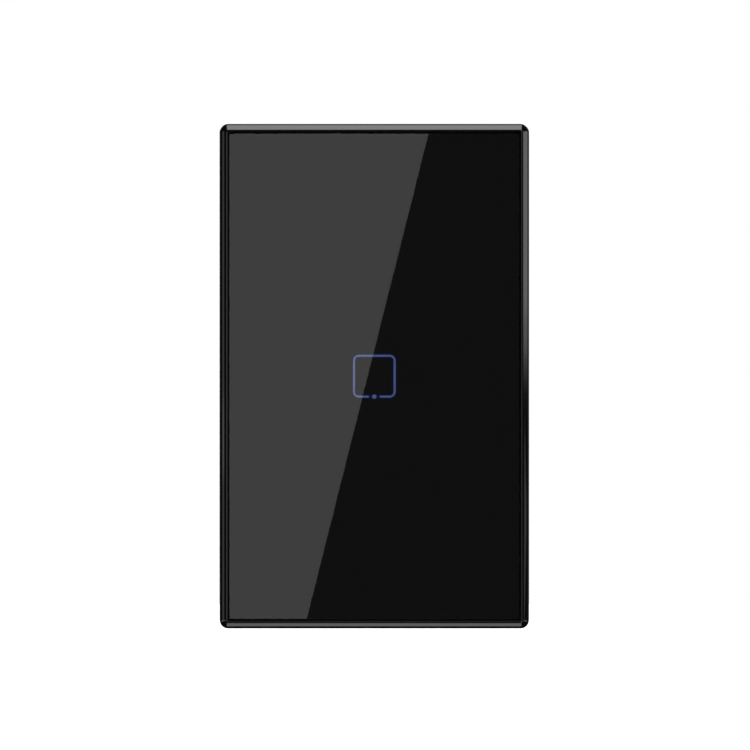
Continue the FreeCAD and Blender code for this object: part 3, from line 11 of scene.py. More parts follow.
import bmesh
import bpy
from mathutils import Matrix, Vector


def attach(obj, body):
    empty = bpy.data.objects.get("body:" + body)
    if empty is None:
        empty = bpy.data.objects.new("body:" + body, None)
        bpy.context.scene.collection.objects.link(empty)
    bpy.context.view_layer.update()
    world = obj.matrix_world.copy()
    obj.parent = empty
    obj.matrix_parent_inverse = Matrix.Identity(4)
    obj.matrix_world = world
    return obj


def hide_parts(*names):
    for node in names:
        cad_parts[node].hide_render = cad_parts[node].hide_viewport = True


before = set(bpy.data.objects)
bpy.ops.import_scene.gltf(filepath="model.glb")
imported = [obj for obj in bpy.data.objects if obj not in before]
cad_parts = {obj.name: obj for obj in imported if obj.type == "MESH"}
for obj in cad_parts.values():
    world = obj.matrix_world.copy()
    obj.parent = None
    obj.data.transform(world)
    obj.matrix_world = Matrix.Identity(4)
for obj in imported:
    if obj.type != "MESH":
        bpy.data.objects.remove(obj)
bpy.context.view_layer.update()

log = logging.getLogger("touch_switch")

Colour = tuple[float, float, float]
Pair = tuple[float, float]
Point = tuple[float, float, float]
Socket = bpy.types.NodeSocket

# Lengths are in millimetres unless a note says metres, and MM turns them into metres.
MM = 0.001
# Places this close count as one when faces and edges are picked.
NEAR = 0.01
# Points this close are merged in a finished piece, in a copied solid and along a mirror.
MERGE = 0.0001
COPY_MERGE = 0.0005
MIRROR_MERGE = 0.001
# Number of sides of a round piece.
ROUND = 48
# A face is upright and square to the view from the front where its normal has this much of Y.
SQUARE = 0.9
# How strongly large faces pull the shading, 50 being even.
NORMAL_WEIGHT = 100
# Length of one band of the wave texture at a scale of one.
WAVE_BAND = 0.314

BLACK = (0.0, 0.0, 0.0)
INK = (0.0012, 0.0012, 0.0014)
INK_MOTTLE = (0.0009, 0.0009, 0.0011)


class Body(Enum):
    """The bodies that the finer pieces ride on."""

    BASE = "base"
    FRONT_PANEL = "front_panel"


class Pick(Enum):
    """What a pick selects."""

    EDGE = "EDGE"
    FACE = "FACE"


class Facing(Enum):
    """Where a sheet faces, as the sign of its normal along Y."""

    FRONT = -1
    WALL = 1


class Edge(Enum):
    """The panel's edges, by their angle round its middle in degrees."""

    RIGHT = 0
    TOP = 90
    LEFT = 180
    BOTTOM = 270


# Finishes


class Amount:
    """A number that nodes work out at every point, used in sums like a plain one."""

    def __init__(self, nodes: "Nodes", socket: Socket) -> None:
        """Hold the socket that gives the number."""
        self.nodes = nodes
        self.socket = socket

    def work(self, operation: str, *others: object) -> "Amount":
        """Give the result of one Math node that has this amount first."""
        values = dict(enumerate((self, *others)))
        return self.nodes.amount("ShaderNodeMath", values, operation=operation)

    def __add__(self, other: object) -> "Amount":
        """Give the sum."""
        return self.work("ADD", other)

    def __sub__(self, other: object) -> "Amount":
        """Give the difference."""
        return self.work("SUBTRACT", other)

    def __mul__(self, other: object) -> "Amount":
        """Give the product."""
        return self.work("MULTIPLY", other)

    def __truediv__(self, other: object) -> "Amount":
        """Give the quotient."""
        return self.work("DIVIDE", other)

    def __lt__(self, other: object) -> "Amount":
        """Give 1 where this is less, else 0."""
        return self.work("LESS_THAN", other)

    def __gt__(self, other: object) -> "Amount":
        """Give 1 where this is more, else 0."""
        return self.work("GREATER_THAN", other)

    def __abs__(self) -> "Amount":
        """Give the amount without its sign."""
        return self.work("ABSOLUTE")

    def at_least(self, other: object) -> "Amount":
        """Give the larger of the two."""
        return self.work("MAXIMUM", other)

    def at_most(self, other: object) -> "Amount":
        """Give the smaller of the two."""
        return self.work("MINIMUM", other)

    def hypotenuse(self, other: "Amount") -> "Amount":
        """Give the long side of the right triangle on two amounts that aren't below 0."""
        return (self.work("POWER", 2.0) + other.work("POWER", 2.0)).work("SQRT")

    def spread(self, low: float, high: float, near: float = 0.35, far: float = 0.65) -> "Amount":
        """Spread the amount over a range.

        Args:
            low: The result at near and below.
            high: The result at far and above.
            near: Amount that gives low.
            far: Amount that gives high.

        Returns:
            The spread amount.
        """
        span = {"From Min": near, "From Max": far, "To Min": low, "To Max": high}
        return self.nodes.amount("ShaderNodeMapRange", {"Value": self, **span})


class Nodes:
    """A node tree, filled and joined node by node."""

    def __init__(self, tree: bpy.types.NodeTree) -> None:
        """Take the tree to work in."""
        self.tree = tree

    def put(
        self, kind: str, inputs: Mapping[str | int, object] | None = None, **settings: object
    ) -> bpy.types.Node:
        """Add a node.

        Args:
            kind: Blender's name of the node type.
            inputs: Values or sockets for its inputs, by name or number.
            **settings: Properties of the node itself.

        Returns:
            The new node.
        """
        node = self.tree.nodes.new(kind)
        for name, setting in settings.items():
            setattr(node, name, setting)
        for name, value in (inputs or {}).items():
            self.feed(node.inputs[name], value)
        return node

    def feed(self, socket: Socket, value: object) -> None:
        """Join an input to what feeds it, or set its own value.

        Args:
            socket: The input.
            value: An amount, another node's output, a colour or a plain value.
        """
        source = value.socket if isinstance(value, Amount) else value
        if isinstance(source, Socket):
            self.tree.links.new(source, socket)
        elif isinstance(source, tuple) and socket.type == "RGBA":
            socket.default_value = (*source, 1.0)
        else:
            socket.default_value = source

    def amount(
        self, kind: str, inputs: Mapping[str | int, object], output: str | int = 0, **settings: object
    ) -> Amount:
        """Add a node as put does, and give one of its outputs."""
        return Amount(self, self.put(kind, inputs, **settings).outputs[output])

    def background_rays(self, low: float, high: float) -> Amount:
        """Tell the rays that see the background from those that light the object.

        Args:
            low: Strength for the rays that light the object.
            high: Strength for camera, glossy and transmitted rays.

        Returns:
            The strength.
        """
        rays = self.put("ShaderNodeLightPath").outputs
        seen = Amount(self, rays["Is Camera Ray"])
        for name in ("Is Glossy Ray", "Is Transmission Ray"):
            seen = seen.at_least(rays[name])
        return seen.spread(low, high, 0.0, 1.0)


class NodeBoard(Nodes):
    """The nodes of one material."""

    def __init__(self, name: str, shader: str = "ShaderNodeBsdfPrincipled") -> None:
        """Start a material with one shader.

        Args:
            name: The material's name.
            shader: Blender's name of the shader's node type.
        """
        self.material = bpy.data.materials.new(name)
        self.material.use_nodes = True
        super().__init__(self.material.node_tree)
        self.tree.nodes.clear()
        self.shader = self.put(shader)
        self.put("ShaderNodeOutputMaterial", {"Surface": self.shader.outputs[0]})

    @cached_property
    def place(self) -> Socket:
        """The point's place in its object's own space."""
        return self.put("ShaderNodeTexCoord").outputs["Object"]

    def split(self, vector: Socket) -> list[Amount]:
        """Give a vector's three parts."""
        return [Amount(self, part) for part in self.put("ShaderNodeSeparateXYZ", {0: vector}).outputs]

    def vector(self, operation: str, inputs: Mapping[str | int, object]) -> Socket:
        """Give the vector that one Vector Math node works out."""
        return self.put("ShaderNodeVectorMath", inputs, operation=operation).outputs[0]

    def distance(self, first: Socket, second: Point) -> Amount:
        """Give the distance of a place from a fixed one."""
        return self.amount("ShaderNodeVectorMath", {0: first, 1: second}, "Value", operation="DISTANCE")

    def chance(self, cell: Socket) -> Amount:
        """Give each cell a number of its own from 0 to 1."""
        return self.amount("ShaderNodeTexWhiteNoise", {"Vector": cell}, "Value")

    def set(self, **values: object) -> None:
        """Set or join the shader's inputs, an underscore standing for a space."""
        for name, value in values.items():
            self.feed(self.shader.inputs[name.replace("_", " ")], value)

    def grain(self, size: float, stretch: Sequence[float] = (1, 1, 1), detail: float = 3.0) -> Amount:
        """Give noise in the object's own space.

        Args:
            size: Size of a grain.
            stretch: How much finer the grain is along each axis.
            detail: Octaves of finer noise.

        Returns:
            The noise from 0 to 1.
        """
        turned = self.put("ShaderNodeMapping", {"Vector": self.place, "Scale": tuple(stretch)})
        inputs = {"Vector": turned.outputs[0], "Scale": 1.0 / (size * MM), "Detail": detail}
        return self.amount("ShaderNodeTexNoise", inputs)

    def tint(self, amount: Amount, first: Socket | Colour, second: Socket | Colour) -> Socket:
        """Blend two colours by an amount."""
        inputs = {0: amount, 6: first, 7: second}
        return self.put("ShaderNodeMix", inputs, data_type="RGBA", clamp_factor=True).outputs[2]

    def spots(self, pitch: float) -> tuple[Amount, Amount]:
        """Divide the view from front to wall into square cells.

        Args:
            pitch: Size of a cell.

        Returns:
            The distance from the cell's middle in millimetres, and the cell's chance from 0 to 1.
        """
        scale = 1.0 / (pitch * MM)
        inputs = {"Vector": self.place, "Scale": (scale, 0.0, scale)}
        turned = self.put("ShaderNodeMapping", inputs).outputs[0]
        away = self.distance(self.vector("FRACTION", {0: turned}), (0.5, 0.0, 0.5))
        return away * pitch, self.chance(self.vector("FLOOR", {0: turned}))

    def relief(self, height: Amount, depth: float, under: Socket | None = None) -> Socket:
        """Give a bumped normal.

        Args:
            height: The height map.
            depth: Its depth.
            under: A normal to add the relief to.

        Returns:
            The normal.
        """
        inputs: dict[str | int, object] = {"Height": height, "Distance": depth * MM, "Strength": 1.0}
        if under is not None:
            inputs["Normal"] = under
        return self.put("ShaderNodeBump", inputs).outputs[0]


@dataclass(frozen=True)
class Finish:
    """A surface with grain, a mottled colour and uneven gloss."""

    name: str
    colour: Colour
    mottle: Colour
    rough: Pair
    metallic: float = 0.0
    grain: float = 0.25
    depth: float = 0.004
    stretch: Point = (1, 1, 1)
    cloud: float = 6.0
    coat: float = 0.0
    specular: float = 0.5

    def material(self) -> bpy.types.Material:
        """Build the finish.

        Returns:
            The material.
        """
        board = NodeBoard(self.name)
        fine = board.grain(self.grain, self.stretch)
        clouds = board.grain(self.cloud, self.stretch, detail=4.0)
        board.set(
            Base_Color=board.tint(clouds, self.colour, self.mottle),
            Roughness=fine.spread(*self.rough),
            Metallic=self.metallic,
            Normal=board.relief(fine, self.depth),
            Coat_Weight=self.coat,
            Specular_IOR_Level=self.specular,
        )
        self.detail(board)
        return board.material

    def detail(self, board: NodeBoard) -> None:
        """Add what only this kind of finish has; a plain finish adds nothing."""

    def mottled(self, board: NodeBoard) -> Socket:
        """Give the mottled colour for a finish that paints over it."""
        return board.tint(board.grain(self.cloud), self.colour, self.mottle)

    def skin(self, board: NodeBoard) -> Socket:
        """Give the grain's relief for a finish that adds its own."""
        return board.relief(board.grain(self.grain), self.depth)


@dataclass(frozen=True)
class Brushed(Finish):
    """Metal with fine lines from brushing, rolling or turning."""

    line: float = 0.06
    run: Point = (1, 1, 12)

    def detail(self, board: NodeBoard) -> None:
        """Lay drawn lines over the grain."""
        lines = board.grain(self.line, self.run, detail=2.0)
        board.set(Normal=board.relief(lines, self.depth), Roughness=lines.spread(*self.rough))


@dataclass(frozen=True)
class ClearPane(Finish):
    """Clear glass with a faint unevenness and dust that only a close look shows."""

    ior: float = 1.56
    smear: float = 14.0
    smear_run: Point = (1, 1, 0.4)
    wave: float = 9.0

    def detail(self, board: NodeBoard) -> None:
        """Let light through and keep the face all but flat.

        Args:
            board: The material's nodes.
        """
        smears = board.grain(self.smear, self.smear_run, detail=2.0)
        board.set(
            Transmission_Weight=1.0,
            IOR=self.ior,
            Roughness=smears.spread(*self.rough),
            Normal=board.relief(board.grain(self.wave, detail=1.0), self.depth),
        )


@dataclass(frozen=True)
class LitPlastic(Finish):
    """Clear plastic that glows from the lamps under it."""

    glow: Colour = (0.07, 0.1, 0.26)
    dim: Colour = (0.05, 0.07, 0.2)
    lamp_pitch: float = 3.4

    def detail(self, board: NodeBoard) -> None:
        """Let the glow swell a little from lamp to lamp."""
        swell = board.grain(self.lamp_pitch, detail=1.0).spread(0.0, 1.0)
        board.set(Emission_Color=board.tint(swell, self.dim, self.glow), Emission_Strength=1.0)


@dataclass(frozen=True)
class MaskFilm(Finish):
    """Black film with a painted glow beside the key outline, standing in for the light that bleeds into it.
    """

    half: Pair = (4.835, 4.858)
    corner: float = 1.2
    half_stroke: float = 0.235
    bleed: float = 0.22
    # Colour of the painted glow that the film gives off beside the stroke, though it is no lamp.
    painted_glow: Colour = (0.0008, 0.004, 0.022)

    def detail(self, board: NodeBoard) -> None:
        """Paint a glow on the film by the distance from the middle of the outline's stroke.

        Args:
            board: The material's nodes.
        """
        x, _, z = board.split(board.place)
        across = abs(x) - (self.half[0] - self.corner) * MM
        up = abs(z) - (self.half[1] - self.corner) * MM
        round_part = across.at_least(0.0).hypotenuse(up.at_least(0.0))
        flat_part = across.at_least(up).at_most(0.0)
        away = abs(round_part + flat_part - self.corner * MM)
        past = (away - self.half_stroke * MM).at_least(0.0)
        fade = (past * (-1.0 / (self.bleed * MM))).work("EXPONENT")
        board.set(Emission_Color=board.tint(fade, BLACK, self.painted_glow), Emission_Strength=1.0)


@dataclass(frozen=True)
class CircuitBoard(Finish):
    """Lacquered board with raised copper tracks under the lacquer, and plated holes painted near black as
    painted shade inside them.
    """

    pitch: float = 1.3
    track: Colour = (0.03, 0.16, 0.06)
    solder: Colour = (0.6, 0.6, 0.57)
    # Painted shade: near black painted into each hole, as the shade inside it.
    shaded_hole: Colour = (0.004, 0.004, 0.004)
    via_pitch: float = 3.0
    region: Point = (0.31, 0.05, 0.31)
    half_track: float = 0.17
    tracked: float = 0.72
    pierced: float = 0.72
    pad_radius: float = 0.32
    hole_radius: float = 0.13
    hole_depth: float = 3.0
    shuffle: float = 7.0
    middle: float = 0.5
    raised: float = 0.02
    weave: float = 0.4

    def detail(self, board: NodeBoard) -> None:
        """Run tracks along or across each region of a grid, then set pads with holes, the holes painted near
        black as painted shade.

        Args:
            board: The material's nodes.
        """
        scaled = board.vector("SCALE", {0: board.place, "Scale": 1.0 / (self.pitch * MM)})
        wide = board.vector("MULTIPLY", {0: scaled, 1: self.region})
        chance = board.chance(board.vector("FLOOR", {0: wide}))
        x, _, z = board.split(scaled)
        lines = [abs(axis.work("FRACT") - self.middle) < self.half_track for axis in (x, z)]
        along = board.amount("ShaderNodeMix", {0: chance > self.middle, 2: lines[0], 3: lines[1]})
        tracks = along * ((chance * self.shuffle).work("FRACT") < self.tracked)
        away, luck = board.spots(self.via_pitch)
        facing = abs(board.split(board.put("ShaderNodeNewGeometry").outputs["True Normal"])[1])
        kept = luck * facing > self.pierced
        pad = kept * (away < self.pitch * self.pad_radius)
        # Painted shade: the holes are coloured near black below, as the shade inside them.
        shaded_hole = kept * (away < self.pitch * self.hole_radius)
        plated = board.tint(pad, board.tint(tracks, self.mottled(board), self.track), self.solder)
        height = tracks.at_least(pad) - shaded_hole * self.hole_depth
        weave = board.relief(board.grain(self.weave, detail=1.0), self.depth)
        board.set(
            Base_Color=board.tint(shaded_hole, plated, self.shaded_hole),
            Metallic=pad - shaded_hole,
            Normal=board.relief(height, self.raised, weave),
        )


@dataclass(frozen=True)
class Wound(Finish):
    """Wire laid turn by turn, seen as fine ridges from front to wall."""

    turn: float = 0.3
    uneven: float = 0.6

    def detail(self, board: NodeBoard) -> None:
        """Raise a ridge for every turn.

        Args:
            board: The material's nodes.
        """
        scale = WAVE_BAND / (self.turn * MM)
        inputs = {"Vector": board.place, "Scale": scale, "Distortion": self.uneven}
        wave = board.amount("ShaderNodeTexWave", inputs, 1, bands_direction="Y")
        board.set(Normal=board.relief(wave, self.turn / 3))


@dataclass(frozen=True)
class SleevedCan(Finish):
    """Shrink sleeve with a pale stripe, round a bare top that is scored to vent, with painted shade in the
    scores.
    """

    axle: Pair = (0.0, 0.0)
    pitch: float = 100.0
    radius: float = 4.0
    top: float = 17.6
    stripe: Colour = (0.42, 0.43, 0.44)
    bare: Colour = (0.6, 0.6, 0.61)
    # Painted shade: the darker colour painted into the vent scores, as the shade down in them.
    groove: Colour = (0.16, 0.16, 0.165)
    bare_share: float = 0.8
    score_share: float = 0.62
    half_score: float = 0.1
    scored: float = 0.08
    rim: float = 0.2
    stripe_from: float = 0.86
    metal: float = 0.35

    def detail(self, board: NodeBoard) -> None:
        """Tell stripe, sleeve and bare top apart by the place on the can, and paint shade into the scores.

        Args:
            board: The material's nodes.
        """
        x, y, z = board.split(board.place)
        half = self.pitch / 2
        turned = (x - (self.axle[0] - half) * MM).work("FLOORED_MODULO", self.pitch * MM)
        across = turned - half * MM
        up = z - self.axle[1] * MM
        away = abs(across).hypotenuse(abs(up))
        high = y > (self.top - self.rim) * MM
        bare_top = (away < self.radius * self.bare_share * MM) * high
        lines = [abs(axis) < self.half_score * MM for axis in (across, up)]
        short = away < self.radius * self.score_share * MM
        # Painted shade: the scores are coloured darker than the bare top round them.
        shaded_score = lines[0].at_least(lines[1]) * (short * high)
        sleeve = board.tint(up / away > self.stripe_from, self.mottled(board), self.stripe)
        board.set(
            Base_Color=board.tint(bare_top, sleeve, board.tint(shaded_score, self.bare, self.groove)),
            Metallic=bare_top * self.metal,
            Normal=board.relief(shaded_score * -1.0, self.scored, self.skin(board)),
        )


@dataclass(frozen=True)
class MarkedChip(Finish):
    """Moulded epoxy with a round sunk mark beside its first pin."""

    mark: Pair = (0.0, 0.0)
    size: float = 0.5
    sunk: float = 0.06
    polish: float = 0.5

    def detail(self, board: NodeBoard) -> None:
        """Sink and polish the mark.

        Args:
            board: The material's nodes.
        """
        flat = board.vector("MULTIPLY", {0: board.place, 1: (1.0, 0.0, 1.0)})
        plain = board.distance(flat, (self.mark[0] * MM, 0.0, self.mark[1] * MM)) > self.size * MM
        fine = board.grain(self.grain)
        board.set(
            Normal=board.relief(plain, self.sunk, board.relief(fine, self.depth)),
            Roughness=fine.spread(*self.rough) * plain.spread(self.polish, 1.0, 0.0, 1.0),
        )


@dataclass(frozen=True)
class EjectedMoulding(Finish):
    """A moulding with the round marks that ejector pins leave."""

    pitch: float = 17.0
    pin: float = 2.0
    rim: float = 0.2
    raised: float = 0.03

    def detail(self, board: NodeBoard) -> None:
        """Raise a fine ring round each pin's place."""
        rim = abs(board.spots(self.pitch)[0] - self.pin).spread(1.0, 0.0, 0.0, self.rim)
        board.set(Normal=board.relief(rim, self.raised, self.skin(board)))


@dataclass(frozen=True)
class Banded(Finish):
    """A coated part with coloured bands round it, by place from front to wall."""

    bands: tuple[tuple[float, Colour], ...] = ()
    reach: float = 0.34

    def detail(self, board: NodeBoard) -> None:
        """Paint the bands one after another.

        Args:
            board: The material's nodes.
        """
        level = board.split(board.place)[1]
        paint = self.mottled(board)
        for place, colour in self.bands:
            paint = board.tint(abs(level - place * MM) < self.reach * MM, paint, colour)
        board.set(Base_Color=paint)


class Slot(Enum):
    """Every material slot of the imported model, with the finish it takes."""

    FRAME_METAL = Brushed(
        "black_anodised", (0.1, 0.1, 0.104), (0.092, 0.092, 0.097), (0.05, 0.075), 1.0,
        depth=0.0001, line=0.08, run=(0.3, 1, 0.3), cloud=20.0,
    )
    PANEL_GLASS = ClearPane(
        "tempered_pane", (0.96, 0.98, 0.97), (0.94, 0.97, 0.96), (0.0, 0.004), depth=0.00003
    )
    MASK_FILM = MaskFilm(
        "black_mask_film", INK, INK_MOTTLE, (0.45, 0.6), depth=0.001, specular=0.0
    )
    TAPE = Finish("bonding_tape", (0.012, 0.012, 0.013), (0.018, 0.018, 0.02), (0.6, 0.8), grain=0.5)
    BLACK_PLASTIC = Finish(
        "black_moulding", (0.014, 0.014, 0.015), (0.02, 0.02, 0.022), (0.42, 0.58),
        grain=0.22, depth=0.006,
    )
    CLEAR_PLASTIC = LitPlastic(
        "lit_light_guide", (0.004, 0.005, 0.008), (0.003, 0.004, 0.007), (0.3, 0.4),
        specular=0.0, glow=(0.062, 0.084, 0.25), dim=(0.054, 0.073, 0.205),
    )
    LAMP = LitPlastic(
        "lamp_body", (0.7, 0.72, 0.7), (0.75, 0.75, 0.72), (0.25, 0.4),
        glow=(0.2, 0.32, 0.9), dim=(0.15, 0.24, 0.7), grain=0.1,
    )
    SPRING_WIRE = Brushed(
        "spring_steel", (0.55, 0.55, 0.56), (0.48, 0.48, 0.5), (0.2, 0.34), 1.0, depth=0.001
    )
    BOARD = CircuitBoard(
        "touch_board_lacquer", (0.006, 0.07, 0.028), (0.008, 0.08, 0.032), (0.26, 0.36), depth=0.003
    )
    POWER_BOARD = CircuitBoard(
        "power_board_lacquer", (0.01, 0.085, 0.03), (0.014, 0.1, 0.04), (0.3, 0.42),
        depth=0.004, pitch=2.4, via_pitch=5.0,
    )
    SCREW_STEEL = Brushed(
        "zinc_plated_screw", (0.6, 0.6, 0.58), (0.5, 0.51, 0.5), (0.22, 0.4), 1.0,
        depth=0.002, run=(1, 6, 1), cloud=2.0,
    )
    CHIP_EPOXY = Finish(
        "chip_epoxy", (0.016, 0.016, 0.017), (0.022, 0.022, 0.023), (0.5, 0.66), grain=0.12, depth=0.004
    )
    TIN = Brushed(
        "tinned_lead", (0.66, 0.66, 0.64), (0.58, 0.58, 0.57), (0.25, 0.42), 1.0,
        depth=0.0015, run=(1, 3, 1), cloud=1.5,
    )
    CERAMIC_BODY = Finish(
        "ceramic_part", (0.36, 0.25, 0.15), (0.3, 0.21, 0.13), (0.4, 0.55), grain=0.1, depth=0.002
    )
    GOLD_PIN = Brushed(
        "gilt_pin", (0.85, 0.62, 0.26), (0.78, 0.56, 0.24), (0.16, 0.3), 1.0, depth=0.001, run=(1, 4, 1)
    )
    PLATE_PLASTIC = EjectedMoulding(
        "plate_moulding", (0.62, 0.62, 0.6), (0.56, 0.56, 0.545), (0.4, 0.55), grain=0.28, depth=0.006
    )
    HOUSING_PLASTIC = Finish(
        "housing_moulding", (0.66, 0.66, 0.64), (0.6, 0.6, 0.585), (0.42, 0.58), grain=0.34, depth=0.009
    )
    BARRIER_SHEET = Finish(
        "barrier_sheet", (0.05, 0.05, 0.052), (0.06, 0.06, 0.064), (0.32, 0.46), grain=0.6, depth=0.003
    )
    RELAY_PLASTIC = Finish(
        "relay_cover_moulding", (0.012, 0.04, 0.13), (0.014, 0.05, 0.15), (0.22, 0.34),
        grain=0.2, depth=0.003,
    )
    PLATED_STEEL = Brushed(
        "nickel_plated_iron", (0.52, 0.51, 0.49), (0.46, 0.45, 0.43), (0.24, 0.38), 1.0,
        depth=0.001, cloud=2.5,
    )
    WHITE_PLASTIC = Finish(
        "bobbin_moulding", (0.68, 0.66, 0.6), (0.62, 0.6, 0.55), (0.4, 0.55), grain=0.2, depth=0.004
    )
    COPPER_WIRE = Wound(
        "enamelled_copper", (0.5, 0.17, 0.07), (0.42, 0.13, 0.05), (0.2, 0.34), 1.0,
        coat=0.4, turn=0.28, depth=0.001,
    )
    COPPER_BLADE = Brushed(
        "phosphor_bronze", (0.62, 0.34, 0.19), (0.54, 0.29, 0.16), (0.2, 0.34), 1.0,
        depth=0.001, run=(8, 1, 1),
    )
    BRASS = Brushed(
        "rolled_brass", (0.62, 0.46, 0.2), (0.54, 0.4, 0.18), (0.2, 0.36), 1.0,
        depth=0.001, run=(1, 8, 1), cloud=3.0,
    )
    FERRITE = Finish(
        "ferrite_core", (0.03, 0.03, 0.032), (0.05, 0.05, 0.052), (0.45, 0.7),
        grain=0.16, depth=0.012, cloud=2.0,
    )
    WINDING_TAPE = Finish(
        "winding_tape", (0.62, 0.42, 0.03), (0.55, 0.36, 0.025), (0.16, 0.28),
        stretch=(1, 3, 1), grain=1.4, depth=0.02, coat=0.3,
    )
    CAPACITOR_SLEEVE = Finish(
        "shrink_sleeve", (0.012, 0.014, 0.02), (0.016, 0.018, 0.026), (0.2, 0.34),
        stretch=(1, 0.2, 1), grain=1.0, depth=0.01,
    )
    FILM_CASE = Finish(
        "film_capacitor_case", (0.5, 0.33, 0.02), (0.44, 0.29, 0.018), (0.28, 0.4), grain=0.5, depth=0.006
    )
    VARISTOR_COAT = Finish(
        "varistor_dip", (0.02, 0.09, 0.26), (0.025, 0.11, 0.3), (0.28, 0.44),
        grain=0.9, depth=0.03, cloud=3.0,
    )
    RESISTOR_COAT = Banded(
        "resistor_cement", (0.05, 0.22, 0.1), (0.04, 0.19, 0.09), (0.45, 0.62), grain=0.3, depth=0.012,
        bands=((13.2, (0.1, 0.035, 0.015)), (11.4, (0.012, 0.012, 0.012)),
               (10.1, (0.32, 0.14, 0.012)), (7.1, (0.38, 0.28, 0.09))),
    )
    TERMINAL_PLASTIC = Finish(
        "terminal_moulding", (0.03, 0.17, 0.075), (0.035, 0.19, 0.085), (0.34, 0.5),
        grain=0.24, depth=0.006,
    )
    CAGE_STEEL = Brushed(
        "cage_steel", (0.56, 0.55, 0.52), (0.46, 0.45, 0.43), (0.26, 0.42), 1.0,
        depth=0.002, run=(6, 1, 1), cloud=2.0,
    )

    @property
    def key(self) -> str:
        """The slot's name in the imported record."""
        return self.name.lower()


EDGE_INK = Finish("edge_ink", INK, INK_MOTTLE, (0.5, 0.7), specular=0.0)


class FinishRack:
    """Makes each finish once and hands it out."""

    def __init__(self) -> None:
        """Start with no finish made."""
        self._made: dict[str, bpy.types.Material] = {}

    def take(self, finish: Finish) -> bpy.types.Material:
        """Give the material of a finish, made at its first use.

        Args:
            finish: The finish.

        Returns:
            Its material.
        """
        if finish.name not in self._made:
            self._made[finish.name] = finish.material()
        return self._made[finish.name]

    def dress_nodes(self) -> None:
        """Put every node's finish into its slot."""
        finishes = {slot.key: slot.value for slot in Slot}
        for name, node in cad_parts.items():
            for place in node.material_slots:
                finish = finishes[place.material.name.split(".")[0]]
                place.material = self.take(finish)
                log.info("dressed %s in %s", name, finish.name)


# The bench


